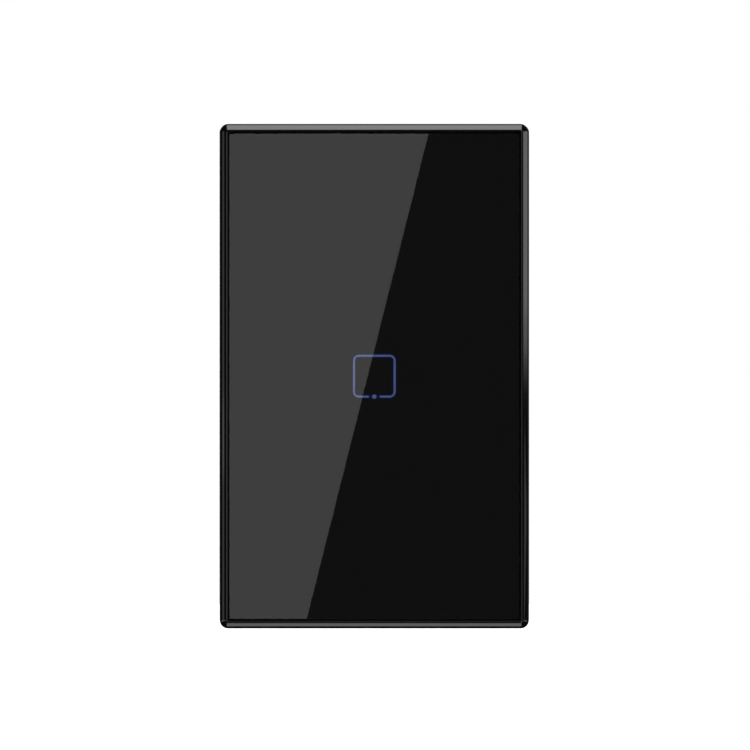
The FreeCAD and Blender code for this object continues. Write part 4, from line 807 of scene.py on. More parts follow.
class Workpiece:
    """One mesh on the bench, shaped with the edit-mode tools as by hand."""

    def __init__(self, name: str) -> None:
        """Name the primitive that was just added and open it for editing.

        Args:
            name: The piece's name.
        """
        self.obj = bpy.context.object
        self.obj.name = self.obj.data.name = name
        bpy.ops.object.transform_apply(location=True, rotation=True, scale=True)
        bpy.ops.object.mode_set(mode="EDIT")
        bpy.ops.mesh.select_mode(type="FACE")

    @classmethod
    def sheet(
        cls, name: str, half: Pair, level: float, middle: Pair = (0.0, 0.0), facing: Facing = Facing.FRONT
    ) -> "Workpiece":
        """Start from an upright sheet.

        Args:
            name: The piece's name.
            half: Half its width and half its height.
            level: Its place along Y.
            middle: Its middle across and up.
            facing: Where it faces.

        Returns:
            The piece, open for editing with its face selected.
        """
        bpy.ops.object.select_all(action="DESELECT")
        bpy.ops.mesh.primitive_plane_add(
            size=2,
            location=(middle[0] * MM, level * MM, middle[1] * MM),
            rotation=(-facing.value * math.pi / 2, 0, 0),
        )
        bpy.context.object.scale = (half[0] * MM, half[1] * MM, 1)
        return cls(name)

    @classmethod
    def block(cls, name: str, x: Pair, y: Pair, z: Pair) -> "Workpiece":
        """Start from a block.

        Args:
            name: The piece's name.
            x: Its two ends across.
            y: Its two ends from front to wall.
            z: Its two ends upwards.

        Returns:
            The piece, open for editing with all selected.
        """
        bpy.ops.object.select_all(action="DESELECT")
        spans = (x, y, z)
        bpy.ops.mesh.primitive_cube_add(size=1, location=[sum(span) / 2 * MM for span in spans])
        bpy.context.object.scale = [(span[1] - span[0]) * MM for span in spans]
        return cls(name)

    @classmethod
    def turned(cls, name: str, axle: Pair, profile: Sequence[Pair], sides: int = ROUND) -> "Workpiece":
        """Build up a round piece about an axis from front to wall.

        Args:
            name: The piece's name.
            axle: The axis across and up.
            profile: Points as (radius, place along the axis).
            sides: Its number of sides.

        Returns:
            The piece, open for editing.
        """
        bpy.ops.object.select_all(action="DESELECT")
        (radius, level), *rest = profile
        bpy.ops.mesh.primitive_circle_add(
            vertices=sides, radius=radius * MM, fill_type="NGON",
            location=(axle[0] * MM, level * MM, axle[1] * MM), rotation=(math.pi / 2, 0, 0),
        )
        piece = cls(name)
        bpy.ops.mesh.select_all(action="SELECT")
        for next_radius, next_level in rest:
            piece.extrude(y=next_level - level)
            grow = next_radius / radius
            bpy.ops.transform.resize(
                value=(grow, 1, grow), center_override=(axle[0] * MM, next_level * MM, axle[1] * MM)
            )
            radius, level = next_radius, next_level
        return piece

    @classmethod
    def copy_of(cls, name: str, node: str) -> "Workpiece":
        """Start from a merged copy of a node's own mesh.

        Args:
            name: The piece's name.
            node: The node that is copied.

        Returns:
            The piece, open for editing with all selected.
        """
        bpy.ops.object.select_all(action="DESELECT")
        copy = bpy.data.objects.new(name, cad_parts[node].data.copy())
        bpy.context.collection.objects.link(copy)
        bpy.context.view_layer.objects.active = copy
        copy.select_set(True)
        piece = cls(name)
        bpy.ops.mesh.select_all(action="SELECT")
        bpy.ops.mesh.remove_doubles(threshold=COPY_MERGE * MM)
        return piece

    def leave(self) -> "Workpiece":
        """Close the edit and keep the piece for later."""
        bpy.ops.object.mode_set(mode="OBJECT")
        return self

    def cut(self, cutter: "Workpiece") -> None:
        """Take a cutter's shape out of the piece and throw the cutter away."""
        self.apply("BOOLEAN", object=cutter.obj, operation="DIFFERENCE", solver="EXACT")
        bpy.data.objects.remove(cutter.obj)

    def pick(
        self, kind: Pick, test: Callable[[Vector], bool], normal: Callable[[Vector], bool] | None = None
    ) -> None:
        """Select edges or faces by where they are.

        Args:
            kind: What is selected.
            test: Told an element's middle in millimetres, says whether it is wanted.
            normal: For faces, told the normal, says whether it is wanted.
        """
        bpy.ops.mesh.select_mode(type=kind.value)
        bpy.ops.mesh.select_all(action="DESELECT")
        mesh = bmesh.from_edit_mesh(self.obj.data)
        for item in mesh.faces if kind is Pick.FACE else mesh.edges:
            if kind is Pick.FACE:
                middle = item.calc_center_median()
            else:
                middle = (item.verts[0].co + item.verts[1].co) / 2
            wanted = test(middle / MM) and (normal is None or normal(item.normal))
            item.select_set(wanted)
        mesh.select_flush_mode()
        bmesh.update_edit_mesh(self.obj.data)

    def pick_square(self, level: float) -> None:
        """Select the faces at a level along Y that are square to the view from the front."""
        self.pick(Pick.FACE, lambda p: abs(p.y - level) < NEAR, lambda n: abs(n.y) > SQUARE)

    def pick_edge(self, x: float, z: float) -> None:
        """Select the edge whose middle is at a place across and up."""
        self.pick(Pick.EDGE, lambda p: abs(p.x - x) < NEAR and abs(p.z - z) < NEAR)

    def apply(self, kind: str, **settings: object) -> None:
        """Add a modifier and apply it.

        Args:
            kind: Blender's name of the modifier type.
            **settings: Properties of the modifier.
        """
        bpy.ops.object.mode_set(mode="OBJECT")
        modifier = self.obj.modifiers.new(kind.lower(), kind)
        for name, setting in settings.items():
            setattr(modifier, name, setting)
        bpy.ops.object.modifier_apply(modifier=modifier.name)
        bpy.ops.object.mode_set(mode="EDIT")
        bpy.ops.mesh.select_all(action="SELECT")

    def repeat(self, count: int, x: float = 0.0, z: float = 0.0) -> None:
        """Repeat the piece in a row.

        Args:
            count: How many there are then.
            x: Step across from one to the next.
            z: Step upwards from one to the next.
        """
        self.apply(
            "ARRAY", count=count, use_relative_offset=False, use_constant_offset=True,
            constant_offset_displace=(x * MM, 0.0, z * MM), use_merge_vertices=True,
            merge_threshold=MERGE * MM,
        )

    def move(self, x: float = 0.0, y: float = 0.0, z: float = 0.0) -> None:
        """Move the whole piece."""
        bpy.ops.mesh.select_all(action="SELECT")
        bpy.ops.transform.translate(value=(x * MM, y * MM, z * MM))

    def ease(self, radius: float, steps: int = 2) -> None:
        """Round the selected edges."""
        bpy.ops.mesh.bevel(offset=radius * MM, segments=steps, affect="EDGES")

    def bridge(self, test: Callable[[Vector], bool]) -> None:
        """Join the open loops whose edges are wanted."""
        self.pick(Pick.EDGE, test)
        bpy.ops.mesh.bridge_edge_loops()

    def round_corners(self, radius: float, steps: int = 12) -> None:
        """Round the corners of a sheet.

        Args:
            radius: The corners' radius.
            steps: How many flats a corner has.
        """
        bpy.ops.mesh.select_all(action="SELECT")
        bpy.ops.mesh.bevel(offset=radius * MM, segments=steps, affect="VERTICES")
        bpy.ops.mesh.select_mode(type="FACE")
        bpy.ops.mesh.select_all(action="SELECT")

    def extrude(self, x: float = 0.0, y: float = 0.0, z: float = 0.0) -> None:
        """Extrude what is selected."""
        bpy.ops.mesh.extrude_region_move(TRANSFORM_OT_translate={"value": (x * MM, y * MM, z * MM)})

    def inset(self, width: float, rise: float = 0.0) -> None:
        """Inset the selected face, then raise it along its normal."""
        bpy.ops.mesh.inset(thickness=width * MM, depth=rise * MM, use_even_offset=True)

    def open_up(self, *walls: float) -> None:
        """Inset the selected face, then take out what is left of it.

        Args:
            *walls: How far it is inset, step by step.
        """
        for wall in walls:
            self.inset(wall)
        bpy.ops.mesh.delete(type="FACE")

    def follow(self, profile: Sequence[Pair]) -> None:
        """Inset the selected face along a profile of (distance inwards, rise), from the face's edge."""
        for (inwards, rise), (next_inwards, next_rise) in zip(profile, profile[1:]):
            self.inset(next_inwards - inwards, next_rise - rise)

    def finish(
        self, rack: FinishRack, slot: Slot, body: Body, stands_for: Sequence[str] = (),
        own: Finish | None = None, smooth: float = 30.0,
    ) -> bpy.types.Object:
        """Close the edit, shade, dress and mount the piece.

        Args:
            rack: Where the material comes from.
            slot: The record's slot that it belongs to.
            body: The body it rides on.
            stands_for: The nodes it replaces.
            own: A finish of its own, if not the slot's.
            smooth: Angle in degrees under which edges are shaded smooth.

        Returns:
            The finished object.
        """
        bpy.ops.mesh.select_all(action="SELECT")
        bpy.ops.mesh.remove_doubles(threshold=MERGE * MM)
        bpy.ops.mesh.normals_make_consistent(inside=False)
        bpy.ops.object.mode_set(mode="OBJECT")
        bpy.ops.object.shade_smooth_by_angle(angle=math.radians(smooth))
        weighted = self.obj.modifiers.new("even_normals", "WEIGHTED_NORMAL")
        weighted.weight = NORMAL_WEIGHT
        weighted.keep_sharp = True
        bpy.ops.object.modifier_apply(modifier=weighted.name)
        self.obj.data.materials.clear()
        self.obj.data.materials.append(rack.take(own or slot.value))
        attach(self.obj, body.value)
        if stands_for:
            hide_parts(*stands_for)
        log.info("built %s, %d faces, on %s", self.obj.name, len(self.obj.data.polygons), body.value)
        return self.obj


@dataclass
class Assembly(ABC):
    """A sub-assembly, dressed in the finishes of one rack."""

    rack: FinishRack

    @abstractmethod
    def build(self) -> None:
        """Build the pieces."""


# The front panel


@dataclass
class Bezel(Assembly):
    """The slim metal frame: skirt, rounded edge, crowned facet, crest and inner lip."""

    half: Pair = (36.8, 60.0)
    corner: float = 2.05
    back: float = -0.3
    shoulder: float = -10.52
    seat: float = -8.25
    skirt_wall: float = 1.2
    profile: tuple[Pair, ...] = (
        (0.0, 0.0), (0.03, 0.18), (0.09, 0.32), (0.18, 0.43), (0.32, 0.53), (0.5, 0.63),
        (0.67, 0.713), (0.84, 0.788), (1.01, 0.855), (1.18, 0.911), (1.3, 0.947), (1.42, 0.9795),
        (1.6, 0.955), (1.89, 0.703), (1.97, 0.55), (2.0, 0.4),
    )

    def build(self) -> None:
        """Raise the skirt and the facet from one sheet, and open the middle from both sides."""
        piece = Workpiece.sheet("bezel_frame", self.half, self.back)
        piece.round_corners(self.corner)
        piece.extrude(y=self.shoulder - self.back)
        piece.follow(self.profile)
        lip = self.shoulder - self.profile[-1][1]
        piece.extrude(y=self.seat - lip)
        piece.open_up()
        piece.pick_square(self.back)
        piece.inset(self.skirt_wall)
        piece.extrude(y=self.seat - self.back)
        piece.open_up()
        reach = self.half[0] - self.skirt_wall + NEAR
        rise = self.half[1] - self.skirt_wall + NEAR
        piece.bridge(lambda p: abs(p.y - self.seat) < NEAR and abs(p.x) < reach and abs(p.z) < rise)
        piece.finish(self.rack, Slot.FRAME_METAL, Body.FRONT_PANEL, ["front_frame"], smooth=18.0)


@dataclass
class Pane(Assembly):
    """The tempered pane with its ground front edge, bedded in the mask film behind it."""

    half: Pair = (34.52, 57.72)
    corner: float = 0.5
    corner_steps: int = 6
    corner_merge: float = 0.3
    spare: float = 0.02
    back: float = -8.62
    front: float = -11.15
    ground: float = 0.07
    ink_border: float = 1.0
    middle_reach: float = 20.0

    def build(self) -> None:
        """Raise the pane from one sheet and ink its border.

        The back is inset in two steps, and its corners are merged between them, because one
        step wider than the corners' radius would cross itself.
        """
        piece = Workpiece.sheet("glass_pane", self.half, self.back)
        piece.round_corners(self.corner, self.corner_steps)
        piece.extrude(y=self.front + self.ground - self.back)
        piece.inset(self.ground, self.ground)
        piece.pick_square(self.back)
        almost = self.corner - self.spare
        piece.inset(almost)
        bpy.ops.mesh.remove_doubles(threshold=self.corner_merge * MM)
        piece.pick(Pick.FACE, lambda p: abs(p.y - self.back) < NEAR and p.length < self.middle_reach)
        piece.inset(self.ink_border - almost)
        pane = piece.finish(self.rack, Slot.PANEL_GLASS, Body.FRONT_PANEL, ["touch_glass"], smooth=20.0)
        pane.data.materials.append(self.rack.take(EDGE_INK))
        clear = [half - self.ink_border - NEAR for half in self.half]
        for face in pane.data.polygons:
            middle = face.center / MM
            beside = abs(middle.x) > clear[0] or abs(middle.z) > clear[1]
            if beside and middle.y > self.front + self.ground + NEAR:
                face.material_index = 1


@dataclass
class KeyMask(Assembly):
    """The black film behind the pane, open along the key's rounded outline and at its dot."""

    half: Pair = (33.92, 57.12)
    front: float = -8.65
    back: float = -8.55
    key: Pair = (5.07, 5.093)
    corners: Pair = (1.45, 0.88)
    corner_steps: tuple[int, int] = (16, 12)
    stroke: float = 0.47
    opening: float = 1.33
    dot: Pair = (0.51, -4.858)
    dot_sides: int = 40
    over: float = 0.1

    def build(self) -> None:
        """Cut the outline and the dot out of the film, with cutters that reach past it."""
        thick = self.back - self.front
        inner = (self.key[0] - self.stroke, self.key[1] - self.stroke)
        core = Workpiece.sheet("outline_core", inner, self.back + 2 * self.over)
        core.round_corners(self.corners[1], self.corner_steps[1])
        core.extrude(y=-thick - 4 * self.over)
        core.leave()
        deep = (self.front - 2 * self.over, self.back + 2 * self.over)
        tall = (-self.key[1] - 2 * self.over, 0.0)
        gap = Workpiece.block("outline_gap", (-self.opening, self.opening), deep, tall).leave()
        outline = Workpiece.sheet("outline_cutter", self.key, self.back + self.over)
        outline.round_corners(self.corners[0], self.corner_steps[0])
        outline.extrude(y=-thick - 2 * self.over)
        outline.cut(core)
        outline.cut(gap)
        outline.leave()
        radius, level = self.dot
        ends = [(radius, self.back + self.over), (radius, self.front - self.over)]
        dot = Workpiece.turned("dot_cutter", (0.0, level), ends, self.dot_sides).leave()
        film = Workpiece.sheet("mask_sheet", self.half, self.back)
        film.extrude(y=self.front - self.back)
        film.cut(outline)
        film.cut(dot)
        film.finish(self.rack, Slot.MASK_FILM, Body.FRONT_PANEL, ["key_mask"])


@dataclass
class EpoxyBody(Assembly):
    """A moulded chip body with draft above and below its parting line."""

    name: str
    node: str
    middle: Pair
    half: Pair
    span: Pair
    mark: Pair
    body: Body
    draft: float = 0.12
    half_band: float = 0.04
    band_inset: float = 0.0001
    edge: float = 0.05
    mark_size: float = 0.45
    rough: Pair = (0.42, 0.6)

    def build(self) -> None:
        """Model one half at the parting line, mirror it and move it into place."""
        rise = (self.span[1] - self.span[0]) / 2
        piece = Workpiece.sheet(self.name, self.half, 0.0, facing=Facing.WALL)
        top = ((self.draft, rise - self.edge), (self.draft + self.edge, rise))
        piece.follow([(0.0, 0.0), (self.band_inset, self.half_band), *top])
        piece.apply("MIRROR", use_axis=(False, True, False), merge_threshold=MIRROR_MERGE * MM)
        piece.move(self.middle[0], sum(self.span) / 2, self.middle[1])
        plain = Slot.CHIP_EPOXY.value
        marked = MarkedChip(
            f"{self.name}_epoxy", plain.colour, plain.mottle, self.rough,
            grain=plain.grain, depth=plain.depth, mark=self.mark, size=self.mark_size,
        )
        piece.finish(self.rack, Slot.CHIP_EPOXY, self.body, [self.node], marked, smooth=20.0)


@dataclass
class CeramicParts(Assembly):
    """Two rows of small ceramic parts with tinned ends."""

    first: Pair = (-13.0, 4.0)
    half: Pair = (1.0, 0.62)
    span: Pair = (-4.85, -4.26)
    pitch: Pair = (4.16, 2.6)
    rows: int = 4
    end: float = 0.42
    inside: Pair = (0.1, 0.05)
    eased: Pair = (0.06, 0.09)
    end_steps: int = 3

    def build(self) -> None:
        """Model one body and one pair of ends, then lay out the rows."""
        x, z = self.first
        long, wide = self.half
        short, slim = self.inside
        bodies = Workpiece.block(
            "ceramic_bodies", (x - long + short, x + long - short),
            (self.span[0], self.span[1] - slim), (z - wide + slim, z + wide - slim),
        )
        bodies.ease(self.eased[0])
        self.lay_out(bodies)
        bodies.finish(self.rack, Slot.CERAMIC_BODY, Body.FRONT_PANEL, ["ceramic_parts"])
        end = (x - long, x - long + self.end)
        ends = Workpiece.block("ceramic_ends", end, self.span, (z - wide, z + wide))
        ends.ease(self.eased[1], self.end_steps)
        ends.repeat(2, x=2 * long - self.end)
        self.lay_out(ends)
        ends.finish(self.rack, Slot.TIN, Body.FRONT_PANEL)

    def lay_out(self, piece: Workpiece) -> None:
        """Repeat a piece along both rows."""
        piece.repeat(2, x=self.pitch[0])
        piece.repeat(self.rows, z=self.pitch[1])


@dataclass
class RadioModule(Assembly):
    """The shield can with its lid seam, and the copper aerial on the free end of its board."""

    middle: Pair = (6.0, 9.6)
    half: Pair = (6.2, 7.3)
    board_back: float = -4.05
    height: float = 1.3
    skirt: float = 0.4
    lid_wall: float = 0.1
    lid_edge: tuple[Pair, ...] = ((0.0, 0.0), (0.03, 0.14), (0.1, 0.24), (0.22, 0.3))
    under_lid: float = 0.15
    corners: Pair = (0.4, 0.5)
    corner_steps: tuple[int, int] = (4, 5)
    holes: tuple[int, int] = (4, 5)
    hole_radius: float = 0.4
    hole_sides: int = 20
    over: float = 0.2
    pierced: float = 2.5
    track: float = 0.7
    track_depth: float = 0.035
    track_level: float = 0.018
    step: float = 1.8
    aerial: Point = (-0.95, 17.8, 24.2)
    turns: int = 4

    def build(self) -> None:
        """Model the can and the aerial."""
        self.build_can()
        self.build_aerial()

    def build_can(self) -> None:
        """Fold up the fence, then the pierced lid that snaps over it."""
        inner = (self.half[0] - self.lid_wall, self.half[1] - self.lid_wall)
        fence = Workpiece.sheet("shield_fence", inner, self.board_back, self.middle, Facing.WALL)
        fence.round_corners(self.corners[0], self.corner_steps[0])
        fence.extrude(y=self.height - self.under_lid)
        fence.finish(self.rack, Slot.TIN, Body.FRONT_PANEL, ["radio_shield"], smooth=35.0)
        top = self.board_back + self.height
        corner = [
            middle - (count - 1) / 2 * self.pierced for middle, count in zip(self.middle, self.holes)
        ]
        ends = [(self.hole_radius, top - self.over), (self.hole_radius, top + self.over)]
        drill = Workpiece.turned("drill", (corner[0], corner[1]), ends, self.hole_sides)
        drill.repeat(self.holes[0], x=self.pierced)
        drill.repeat(self.holes[1], z=self.pierced)
        drill.leave()
        level = self.board_back + self.skirt
        lid = Workpiece.sheet("shield_lid", self.half, level, self.middle, Facing.WALL)
        lid.round_corners(self.corners[1], self.corner_steps[1])
        lid.extrude(y=self.height - self.skirt - self.lid_edge[-1][1])
        lid.follow(self.lid_edge)
        lid.cut(drill)
        lid.finish(self.rack, Slot.TIN, Body.FRONT_PANEL, smooth=35.0)

    def build_aerial(self) -> None:
        """Run one bend of the copper track, repeat it and give it its thickness."""
        x, low, high = self.aerial
        wide, step = self.track, self.step
        half, rise = wide / 2, high - low
        level = self.board_back + self.track_level
        start = (x + half, low + half)
        strip = Workpiece.sheet("aerial_track", (half, half), level, start, Facing.WALL)
        for edge, axis, lengths in (
            ((x + half, low + wide), "z", (rise - 2 * wide, wide)),
            ((x + wide, high - half), "x", (step - wide, wide)),
            ((x + step + half, high - wide), "z", (2 * wide - rise, -wide)),
            ((x + step + wide, low + half), "x", (step - wide,)),
        ):
            strip.pick_edge(*edge)
            for length in lengths:
                strip.extrude(**{axis: length})
        strip.repeat(self.turns, x=2 * step)
        bpy.ops.mesh.normals_make_consistent(inside=False)
        strip.apply("SOLIDIFY", thickness=self.track_depth * MM, offset=0.0)
        strip.finish(self.rack, Slot.GOLD_PIN, Body.FRONT_PANEL)


# The base


@dataclass
class RelayCoil(Assembly):
    """The relay's winding: enamelled wire laid turn by turn on a filled core."""

    axle: Pair = (-10.5, -11.2)
    span: Pair = (9.3, 15.5)
    outer: float = 4.4
    inner: float = 2.65
    wire: float = 0.3
    wire_sides: int = 8
    turns: int = 19
    steps: int = 28
    inset: float = 0.08

    def build(self) -> None:
        """Wind the outer layer and fill what lies under it."""
        radius = self.wire / 2
        bpy.ops.object.select_all(action="DESELECT")
        bpy.ops.mesh.primitive_circle_add(vertices=self.wire_sides, radius=radius * MM)
        winding = Workpiece("relay_winding")
        winding.move(x=self.outer - radius)
        pitch = (self.span[1] - self.span[0] - self.wire) / self.turns
        winding.apply(
            "SCREW", axis="Y", screw_offset=pitch * MM, iterations=self.turns, steps=self.steps,
            render_steps=self.steps, use_merge_vertices=True, merge_threshold=MERGE * MM,
        )
        bpy.ops.mesh.fill_holes(sides=0)
        winding.move(self.axle[0], self.span[0] + radius, self.axle[1])
        winding.finish(self.rack, Slot.COPPER_WIRE, Body.BASE, ["relay_coil"], smooth=50.0)
        self.build_core(self.outer - radius)

    def build_core(self, outer: float) -> None:
        """Turn the tube under the outer layer.

        Args:
            outer: The tube's outer radius.
        """
        x, z = self.axle
        bpy.ops.object.select_all(action="DESELECT")
        bpy.ops.mesh.primitive_cylinder_add(
            vertices=ROUND, radius=outer * MM, depth=(self.span[1] - self.span[0]) * MM,
            location=[c * MM for c in (x, sum(self.span) / 2, z)], rotation=(math.pi / 2, 0, 0),
        )
        core = Workpiece("relay_winding_core")
        for end in self.span:
            core.pick_square(end)
            core.open_up(self.inset, outer - self.inner - self.inset)
        core.bridge(lambda p: math.hypot(p.x - x, p.z - z) < self.inner + 2 * NEAR)
        core.finish(self.rack, Slot.COPPER_WIRE, Body.BASE)


@dataclass
class SleevedCans(Assembly):
    """One or more capacitor cans with a crimped seal, a sleeve and a sunk, scored top."""

    name: str
    node: str
    axle: Pair
    radius: float
    span: Pair
    colour: Colour
    mottle: Colour
    count: int = 1
    pitch: float = 100.0
    rough: Pair = (0.2, 0.34)

    def build(self) -> None:
        """Turn one can and repeat it."""
        r, (low, top) = self.radius, self.span
        cans = Workpiece.turned(self.name, self.axle, [
            (r - 0.5, low), (r - 0.1, low + 0.2), (r, low + 0.5), (r, low + 1.0), (r - 0.2, low + 1.25),
            (r - 0.34, low + 1.5), (r - 0.34, low + 1.65), (r - 0.2, low + 1.9), (r, low + 2.15),
            (r, top - 0.45), (r - 0.06, top - 0.2), (r - 0.22, top - 0.04), (r - 0.4, top),
            (r * 0.82, top), (r * 0.8, top - 0.14),
        ])
        cans.repeat(self.count, x=self.pitch)
        sleeve = SleevedCan(
            f"{self.name}_sleeve", self.colour, self.mottle, self.rough,
            grain=1.0, depth=0.01, axle=self.axle, pitch=self.pitch, radius=r, top=top,
        )
        cans.finish(self.rack, Slot.CAPACITOR_SLEEVE, Body.BASE, [self.node], sleeve, smooth=32.0)


@dataclass
class FuseResistor(Assembly):
    """A coated resistor, waisted between its end caps."""

    axle: Pair = (11.5, 20.5)
    span: Pair = (5.6, 14.6)
    radius: float = 1.8

    def build(self) -> None:
        """Turn the body."""
        r, (low, top) = self.radius, self.span
        body = Workpiece.turned("fuse_resistor_body", self.axle, [
            (r - 0.8, low), (r - 0.4, low + 0.08), (r - 0.12, low + 0.26), (r, low + 0.6), (r, low + 2.1),
            (r - 0.06, low + 2.5), (r - 0.2, low + 3.0), (r - 0.2, top - 3.0), (r - 0.06, top - 2.5),
            (r, top - 2.1), (r, top - 0.6), (r - 0.12, top - 0.26), (r - 0.4, top - 0.08), (r - 0.8, top),
        ])
        body.finish(self.rack, Slot.RESISTOR_COAT, Body.BASE, ["fuse_resistor"], smooth=40.0)


@dataclass
class TerminalBlock(Assembly):
    """The three-pole moulding with a groove between its poles, round three of its sides."""

    groove: float = 4.3
    reach: float = 0.2
    deep: float = 0.45
    overlap: float = 0.1
    back: float = 24.0
    front: float = 12.0
    ends: Pair = (-33.0, -20.0)

    def build(self) -> None:
        """Cut the grooves into a copy of the solid's mesh."""
        low, high = self.ends
        floor = self.back - self.deep
        x = (-self.groove - self.reach, -self.groove + self.reach)
        upright = (self.front, floor + self.overlap)
        cutters = []
        for y, z in (
            ((floor, self.back + self.deep), (low - self.deep, high + self.deep)),
            (upright, (low - self.deep, low + self.deep)),
            (upright, (high - self.deep, high + self.deep)),
        ):
            cutter = Workpiece.block("groove_cutter", x, y, z)
            cutter.repeat(2, x=2 * self.groove)
            cutters.append(cutter.leave())
        piece = Workpiece.copy_of("terminal_moulding", "terminal_block")
        for cutter in cutters:
            piece.cut(cutter)
        piece.finish(self.rack, Slot.TERMINAL_PLASTIC, Body.BASE, ["terminal_block"])


@dataclass
class TransformerWinding(Assembly):
    """The transformer's winding in three laps of yellow tape, each drawn a little tighter."""

    middle: Pair = (12.0, -11.0)
    half: Pair = (4.0, 5.4)
    span: Pair = (10.2, 16.8)
    corner: float = 1.0
    corner_steps: int = 8
    lap: float = 0.05
    lap_rise: float = 0.02
    laps: int = 3
    wall: float = 0.9

    def build(self) -> None:
        """Raise the laps and open the middle for the former."""
        low, high = self.span
        piece = Workpiece.sheet("taped_winding", self.half, low, self.middle, Facing.WALL)
        piece.round_corners(self.corner, self.corner_steps)
        rise = (high - low) / self.laps
        for _ in range(self.laps - 1):
            piece.extrude(y=rise - self.lap_rise)
            piece.inset(self.lap, self.lap_rise)
        piece.extrude(y=rise)
        for level, wall in ((high, self.wall - self.lap * (self.laps - 1)), (low, self.wall)):
            piece.pick_square(level)
            piece.open_up(wall)
        reach = [half - self.wall + 2 * NEAR for half in self.half]
        piece.bridge(
            lambda p: abs(p.x - self.middle[0]) < reach[0]
            and abs(p.z - self.middle[1]) < reach[1]
            and min(abs(p.y - end) for end in self.span) < NEAR
        )
        piece.finish(self.rack, Slot.WINDING_TAPE, Body.BASE, ["transformer_winding"])


# The studio


@dataclass
class Camera:
    """A long lens, square on the panel."""

    distance: float = 1600.0
    pixels_per_mm: float = 4.208
    aim: Pair = (0.165, 0.285)
    rim: float = -11.5
    frame_pixels: int = 750
    sensor: float = 36.0
    farthest: float = 20000.0

    def build(self) -> None:
        """Set the camera up and make it the scene's own."""
        data = bpy.data.cameras.new("camera")
        data.sensor_width = self.sensor
        data.lens = self.sensor * self.distance / (self.frame_pixels / self.pixels_per_mm)
        data.clip_end = self.farthest * MM
        camera = bpy.data.objects.new("camera", data)
        bpy.context.collection.objects.link(camera)
        camera.location = (self.aim[0] * MM, (self.rim - self.distance) * MM, self.aim[1] * MM)
        camera.rotation_euler = (math.pi / 2, 0, 0)
        bpy.context.scene.camera = camera


@dataclass
class Lamp:
    """A large soft lamp that faces the object, placed in metres."""

    name: str
    place: Point
    power: float
    size: float
    gloss: bool

    def build(self) -> None:
        """Hang the lamp and turn it to the object."""
        data = bpy.data.lights.new(self.name, "AREA")
        data.energy = self.power
        data.size = self.size
        lamp = bpy.data.objects.new(self.name, data)
        bpy.context.collection.objects.link(lamp)
        lamp.location = self.place
        lamp.rotation_euler = (-Vector(self.place)).to_track_quat("-Z", "Y").to_euler()
        lamp.visible_glossy = self.gloss


@dataclass
class Card:
    """A board of even light that only gloss sees, given by its corners."""

    name: str
    light: float
    corners: Sequence[Point]

    def build(self) -> None:
        """Lay the card out as stage."""
        mesh = bpy.data.meshes.new(self.name)
        mesh.from_pydata([[c * MM for c in p] for p in self.corners], [], [range(len(self.corners))])
        card = bpy.data.objects.new(self.name, mesh)
        bpy.context.collection.objects.link(card)
        light_up(card, self.light)


def light_up(obj: bpy.types.Object, light: float) -> None:
    """Make an object stage of even light that only gloss, and what leaves the glass, meets.

    Args:
        obj: The object.
        light: Its strength, 1 being white.
    """
    board = NodeBoard(obj.name.split(".")[0], "ShaderNodeEmission")
    board.set(Strength=light)
    obj.data.materials.append(board.material)
    for kind in ("camera", "diffuse", "volume_scatter", "shadow"):
        setattr(obj, f"visible_{kind}", False)


